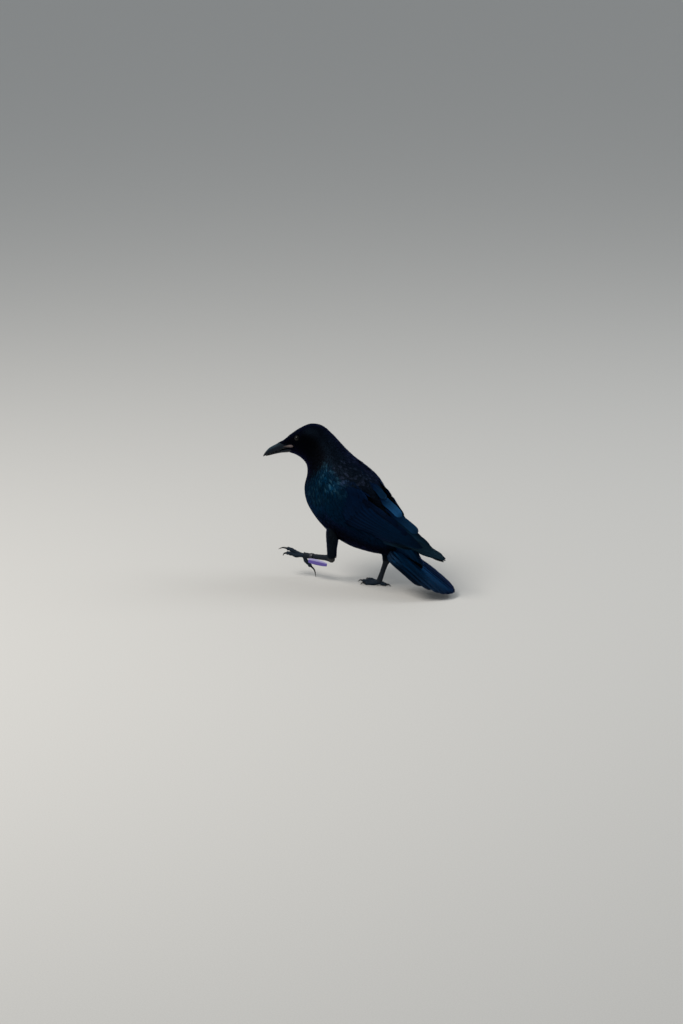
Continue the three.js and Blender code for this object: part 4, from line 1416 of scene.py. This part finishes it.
# painted light on the heels: a pale painted highlight on the lifted left heel and painted shade on the right
# one under the belly, each with its strength
HEEL_HIGHLIGHT_AND_SHADE = {LEFT: (np.array([0.055, 0.052, 0.045]), 0.6), RIGHT: (INK * 2, 0.9)}
CLAW_TINT = np.array([0.006, 0.007, 0.009])
SHANK_RADIUS = 4.84
SHANK_SHARES = [-0.07, 0.01, 0.2, 0.55, 0.86, 0.98]
SHANK_RADII = np.array([1.1, 1.55, 1.05, 0.92, 1.0, 1.15])
SHANK_FRONT = {LEFT: np.array([0, 0, 1.0]), RIGHT: np.array([-1.0, 0, 0])}
SHANK_PLATES = 9
TOE_RADIUS = 3.7
TOE_TAPER = 0.18
TOE_PLATE = 2.1  # a plate's length on a toe
CLAW_RADII = [1.71, 1.9, 1.178, 0.3]
CLAW_WITHIN = 2.4  # how far the claw's root runs into the toe
# Each toe's joints after the ankle, and its claw's points.
TOES = {
    LEFT: {
        "inner": ([(-145, -12.5, 38), (-154, -12, 41)],
                  [(-155, -12, 41.2), (-160.5, -11.6, 41.2), (-164.5, -11.2, 37.8)]),
        "middle": ([(-146, -17, 40.6), (-156, -19, 45.5), (-163, -20, 47)],
                   [(-164, -20.2, 47.2), (-172.5, -21, 47.4), (-180.5, -21.5, 43.6)]),
        "outer": ([(-146, -21.5, 38), (-155, -25, 40.8), (-160.5, -26.5, 41.4)],
                  [(-161.5, -26.8, 41.2), (-166, -28, 39.8), (-168, -28.6, 35.6)]),
        "hind": ([(-130.5, -14.5, 28.5), (-123.5, -12, 19.8)],
                 [(-122.9, -11.8, 19.2), (-117, -9.6, 12.2), (-114.5, -8.8, 0)]),
    },
    RIGHT: {
        "inner": ([(-10, 0, 3.2), (-20, -3.8, 2.5)],
                  [(-21, -4.2, 2.4), (-25.5, -5.8, 3.1), (-29.5, -7.4, 0.2)]),
        "middle": ([(-12, 5, 3.4), (-22, 5.2, 3.7), (-29.5, 5.2, 2.5)],
                   [(-30.5, 5.2, 2.5), (-35.5, 5.1, 3.3), (-40, 5, 0.2)]),
        "outer": ([(-10, 10.5, 3.4), (-18.5, 14.5, 3.5), (-24.5, 17.1, 2.5)],
                  [(-25.5, 17.5, 2.4), (-29.5, 19.2, 3.1), (-33.5, 21, 0.2)]),
        "hind": ([(6.5, 6.3, 3.4), (11.5, 6.8, 2.4)], [(12.5, 6.9, 2.3), (17, 7.3, 3.1), (21.5, 7.8, 0.2)]),
    },
}


def sawtooth(x):
    """Overlapping plates: each rises slowly and drops at once."""
    t = (x % 1.0)[:, None]
    return t**2 * ease(t, 1.0, 0.9)


def shank_wave(u, v):
    """Plates down the front of a shank, but not on the heel."""
    share = np.interp(u, range(6), SHANK_SHARES)
    heel = np.exp(-((share / 0.07) ** 2))[:, None]
    return 1 + 0.085 * sawtooth(share * SHANK_PLATES) * ease(np.cos(v), -0.2, 0.4) * (1 - heel)


def make_shanks():
    for side, word in SIDES.items():
        heel, run = HEEL[side], ANKLE[side] - HEEL[side]
        heading, front = unit(run), SHANK_FRONT[side]
        points = [heel + run * share for share in SHANK_SHARES]
        shape = swept(points, SHANK_RADIUS * SHANK_RADII, [0.76] * 6, sides=28, steps=30,
                      up=front - heading * (front @ heading), wave=shank_wave)
        share = np.clip((shape[0] - heel) @ run / (run @ run), 0, 1)
        tint = mix(SCUTE_TINT * 1.1, SCUTE_TINT, ease(share, 0.0, 0.2))
        # the heel's painted highlight on the left leg and painted shade on the right
        heel_light_and_shade, strength = HEEL_HIGHLIGHT_AND_SHADE[side]
        tint = mix(tint, heel_light_and_shade, strength * np.exp(-((share / 0.08) ** 2)))
        add_piece(f"shank_{word}_scutes", shape, SCUTE, tint, (f"shank_{word}",))


def on_floor(shape):
    """A shape without what lies under the floor."""
    shape[0][:, 2] = np.maximum(shape[0][:, 2], 0.0)
    return shape


def toe(joints):
    """A toe with plates on top, pads below at its joints, and a rounded end."""
    last = len(joints) - 1
    length = run_along(joints)[-1]
    radii = [TOE_RADIUS * (1 - TOE_TAPER * i / last) for i in range(last + 1)]

    def wave(u, v):
        plate = sawtooth(u / last * length / TOE_PLATE) * ease(np.cos(v), 0.0, 0.5)
        joint = (0.5 + 0.5 * np.cos(2 * math.pi * u))[:, None]
        return 1 + 0.1 * plate + 0.16 * joint * ease(-np.cos(v), 0.2, 0.8) - 0.1 * (1 - joint)

    tip = [joints[-1] + unit(joints[-1] - joints[-2]) * far for far in (0.9, 1.5)]
    radii += [radii[-1] * 0.86, radii[-1] * 0.5]
    return swept([*joints, *tip], radii, [0.95] * len(radii), sides=20, steps=22, wave=wave)


def make_feet():
    for side, word in SIDES.items():
        toes = [toe(np.array([ANKLE[side], *joints], float)) for joints, _ in TOES[side].values()]
        node = f"foot_{word}"
        add_piece(node + "_toes", on_floor(joined(toes)), SCUTE, TOE_TINT, (node,))
        for name, (_, points) in TOES[side].items():
            points = np.array(points, float)
            within = points[0] - unit(points[1] - points[0]) * CLAW_WITHIN
            shape = swept([within, *points], CLAW_RADII, [0.8, 0.8, 0.75, 0.8], sides=16, steps=12)
            node = f"claw_{word}_{name}"
            add_piece(node + "_horn", on_floor(shape), CLAW, CLAW_TINT, (node,))


# ------------------------------------------------------------------ tag and ring
TAG = np.array([
    (-86, -21.6, 30.3), (-93, -22, 31), (-104, -22, 31.8), (-115, -21.8, 32.2), (-122, -21.4, 32.1),
])
TAG_HALF = [2.8, 4.1, 4.9, 4.7, 3.6]
TAG_VIOLET = np.array([0.105, 0.070, 0.330])
# painted highlight on the strip's upper edge
TAG_TOP_HIGHLIGHT = np.array([0.40, 0.37, 0.60])
RING_TINT = np.array([0.010, 0.012, 0.018])
# The band's section: shares of the way from the heel to the ankle, and radii.
RING_PROFILE = [(0.66, 4.6), (0.66, 5.15), (0.666, 5.3), (0.754, 5.3), (0.76, 5.15), (0.76, 4.6)]


def make_tag():
    shape = swept(TAG, TAG_HALF, [0.14] * 5, sides=40, steps=14, up=(0.03, 0.12, 1))
    x, _, z = shape[0].T
    # painted highlight: paler towards the strip's upper edge
    high = (z - np.interp(x, TAG[::-1, 0], TAG[::-1, 2])) / 4.2
    tint = mix(TAG_VIOLET, TAG_TOP_HIGHLIGHT, ease(high, 0.2, 0.6))
    add_piece("leg_tag_strip", shape, TAG_PLASTIC, tint, ("leg_tag",))
    run = ANKLE[LEFT] - HEEL[LEFT]
    heading = unit(run)
    side = unit(np.cross([0, 1.0, 0], heading))
    spokes = wheel(circle(48), side, np.cross(heading, side))
    rings = np.array([HEEL[LEFT] + run * share + radius * spokes for share, radius in RING_PROFILE])
    shape = closed(rings, loop=True)
    add_piece("leg_ring_band", shape, RING_PLASTIC, RING_TINT, ("leg_ring",), sharp=40)


# ------------------------------------------------------------------ floor, light and camera
CAMERA_AZIMUTH, CAMERA_ELEVATION = math.radians(28), math.radians(18)
MM_PER_PIXEL, IMAGE_TALL = 1.7, 1024
LENS, SENSOR = 85, 36
FOOT = [0, 8.75, 6]  # the planted foot, in mm, from which the camera's aim is this many metres left and up
AIM_LEFT, AIM_UP = 0.06545, 0.1173
LIGHTS = [  # name, place, size, energy and colour
    ("key", (-1.1, -1.2, 2.3), 1.5, 52, (1.0, 0.97, 0.93)),
    ("rim", (1.6, 1.4, 1.9), 1.4, 16, (0.90, 0.95, 1.0)),
]


def make_stage():
    bpy.ops.mesh.primitive_plane_add(size=60, location=(0, 0, 0))
    floor = bpy.context.object
    floor.name = "floor"
    floor.data.materials.append(floor_look())
    scene = bpy.context.scene
    scene.view_settings.view_transform = "Standard"
    scene.world = bpy.data.worlds.new("soft_studio")
    scene.world.use_nodes = True
    sky = scene.world.node_tree.nodes["Background"]
    sky.inputs["Color"].default_value = (0.86, 0.93, 1.0, 1)
    sky.inputs["Strength"].default_value = 0.42
    for name, place, size, energy, colour in LIGHTS:
        light = bpy.data.lights.new(name, "AREA")
        light.shape, light.size, light.energy, light.color = "DISK", size, energy, colour
        lamp = bpy.data.objects.new(name, light)
        lamp.location = place
        lamp.rotation_euler = (Vector((0, 0, 0.13)) - Vector(place)).to_track_quat("-Z", "Y").to_euler()
        scene.collection.objects.link(lamp)


def make_camera():
    a, e = CAMERA_AZIMUTH, CAMERA_ELEVATION
    right = Vector((math.cos(a), math.sin(a), 0))
    up = Vector((-math.sin(a) * math.sin(e), math.cos(a) * math.sin(e), math.cos(e)))
    back = Vector((math.sin(a) * math.cos(e), -math.cos(a) * math.cos(e), math.sin(e)))
    aim = Vector(metres(FOOT)) - right * AIM_LEFT + up * AIM_UP
    distance = MM_PER_PIXEL * 0.001 * IMAGE_TALL * LENS / SENSOR
    camera = bpy.data.objects.new("camera", bpy.data.cameras.new("camera"))
    camera.data.lens, camera.data.sensor_width = LENS, SENSOR
    rotation = Matrix((right, up, back)).transposed().to_4x4()
    camera.matrix_world = Matrix.Translation(aim + back * distance) @ rotation
    camera.data.clip_end = 100
    bpy.context.scene.collection.objects.link(camera)
    bpy.context.scene.camera = camera


make_skin()
make_coat()
make_thighs()
make_wings()
make_tail()
make_tail_coverts()
make_bill()
make_gape()
make_bristles()
make_eyes()
make_shanks()
make_feet()
make_tag()
make_stage()
make_camera()
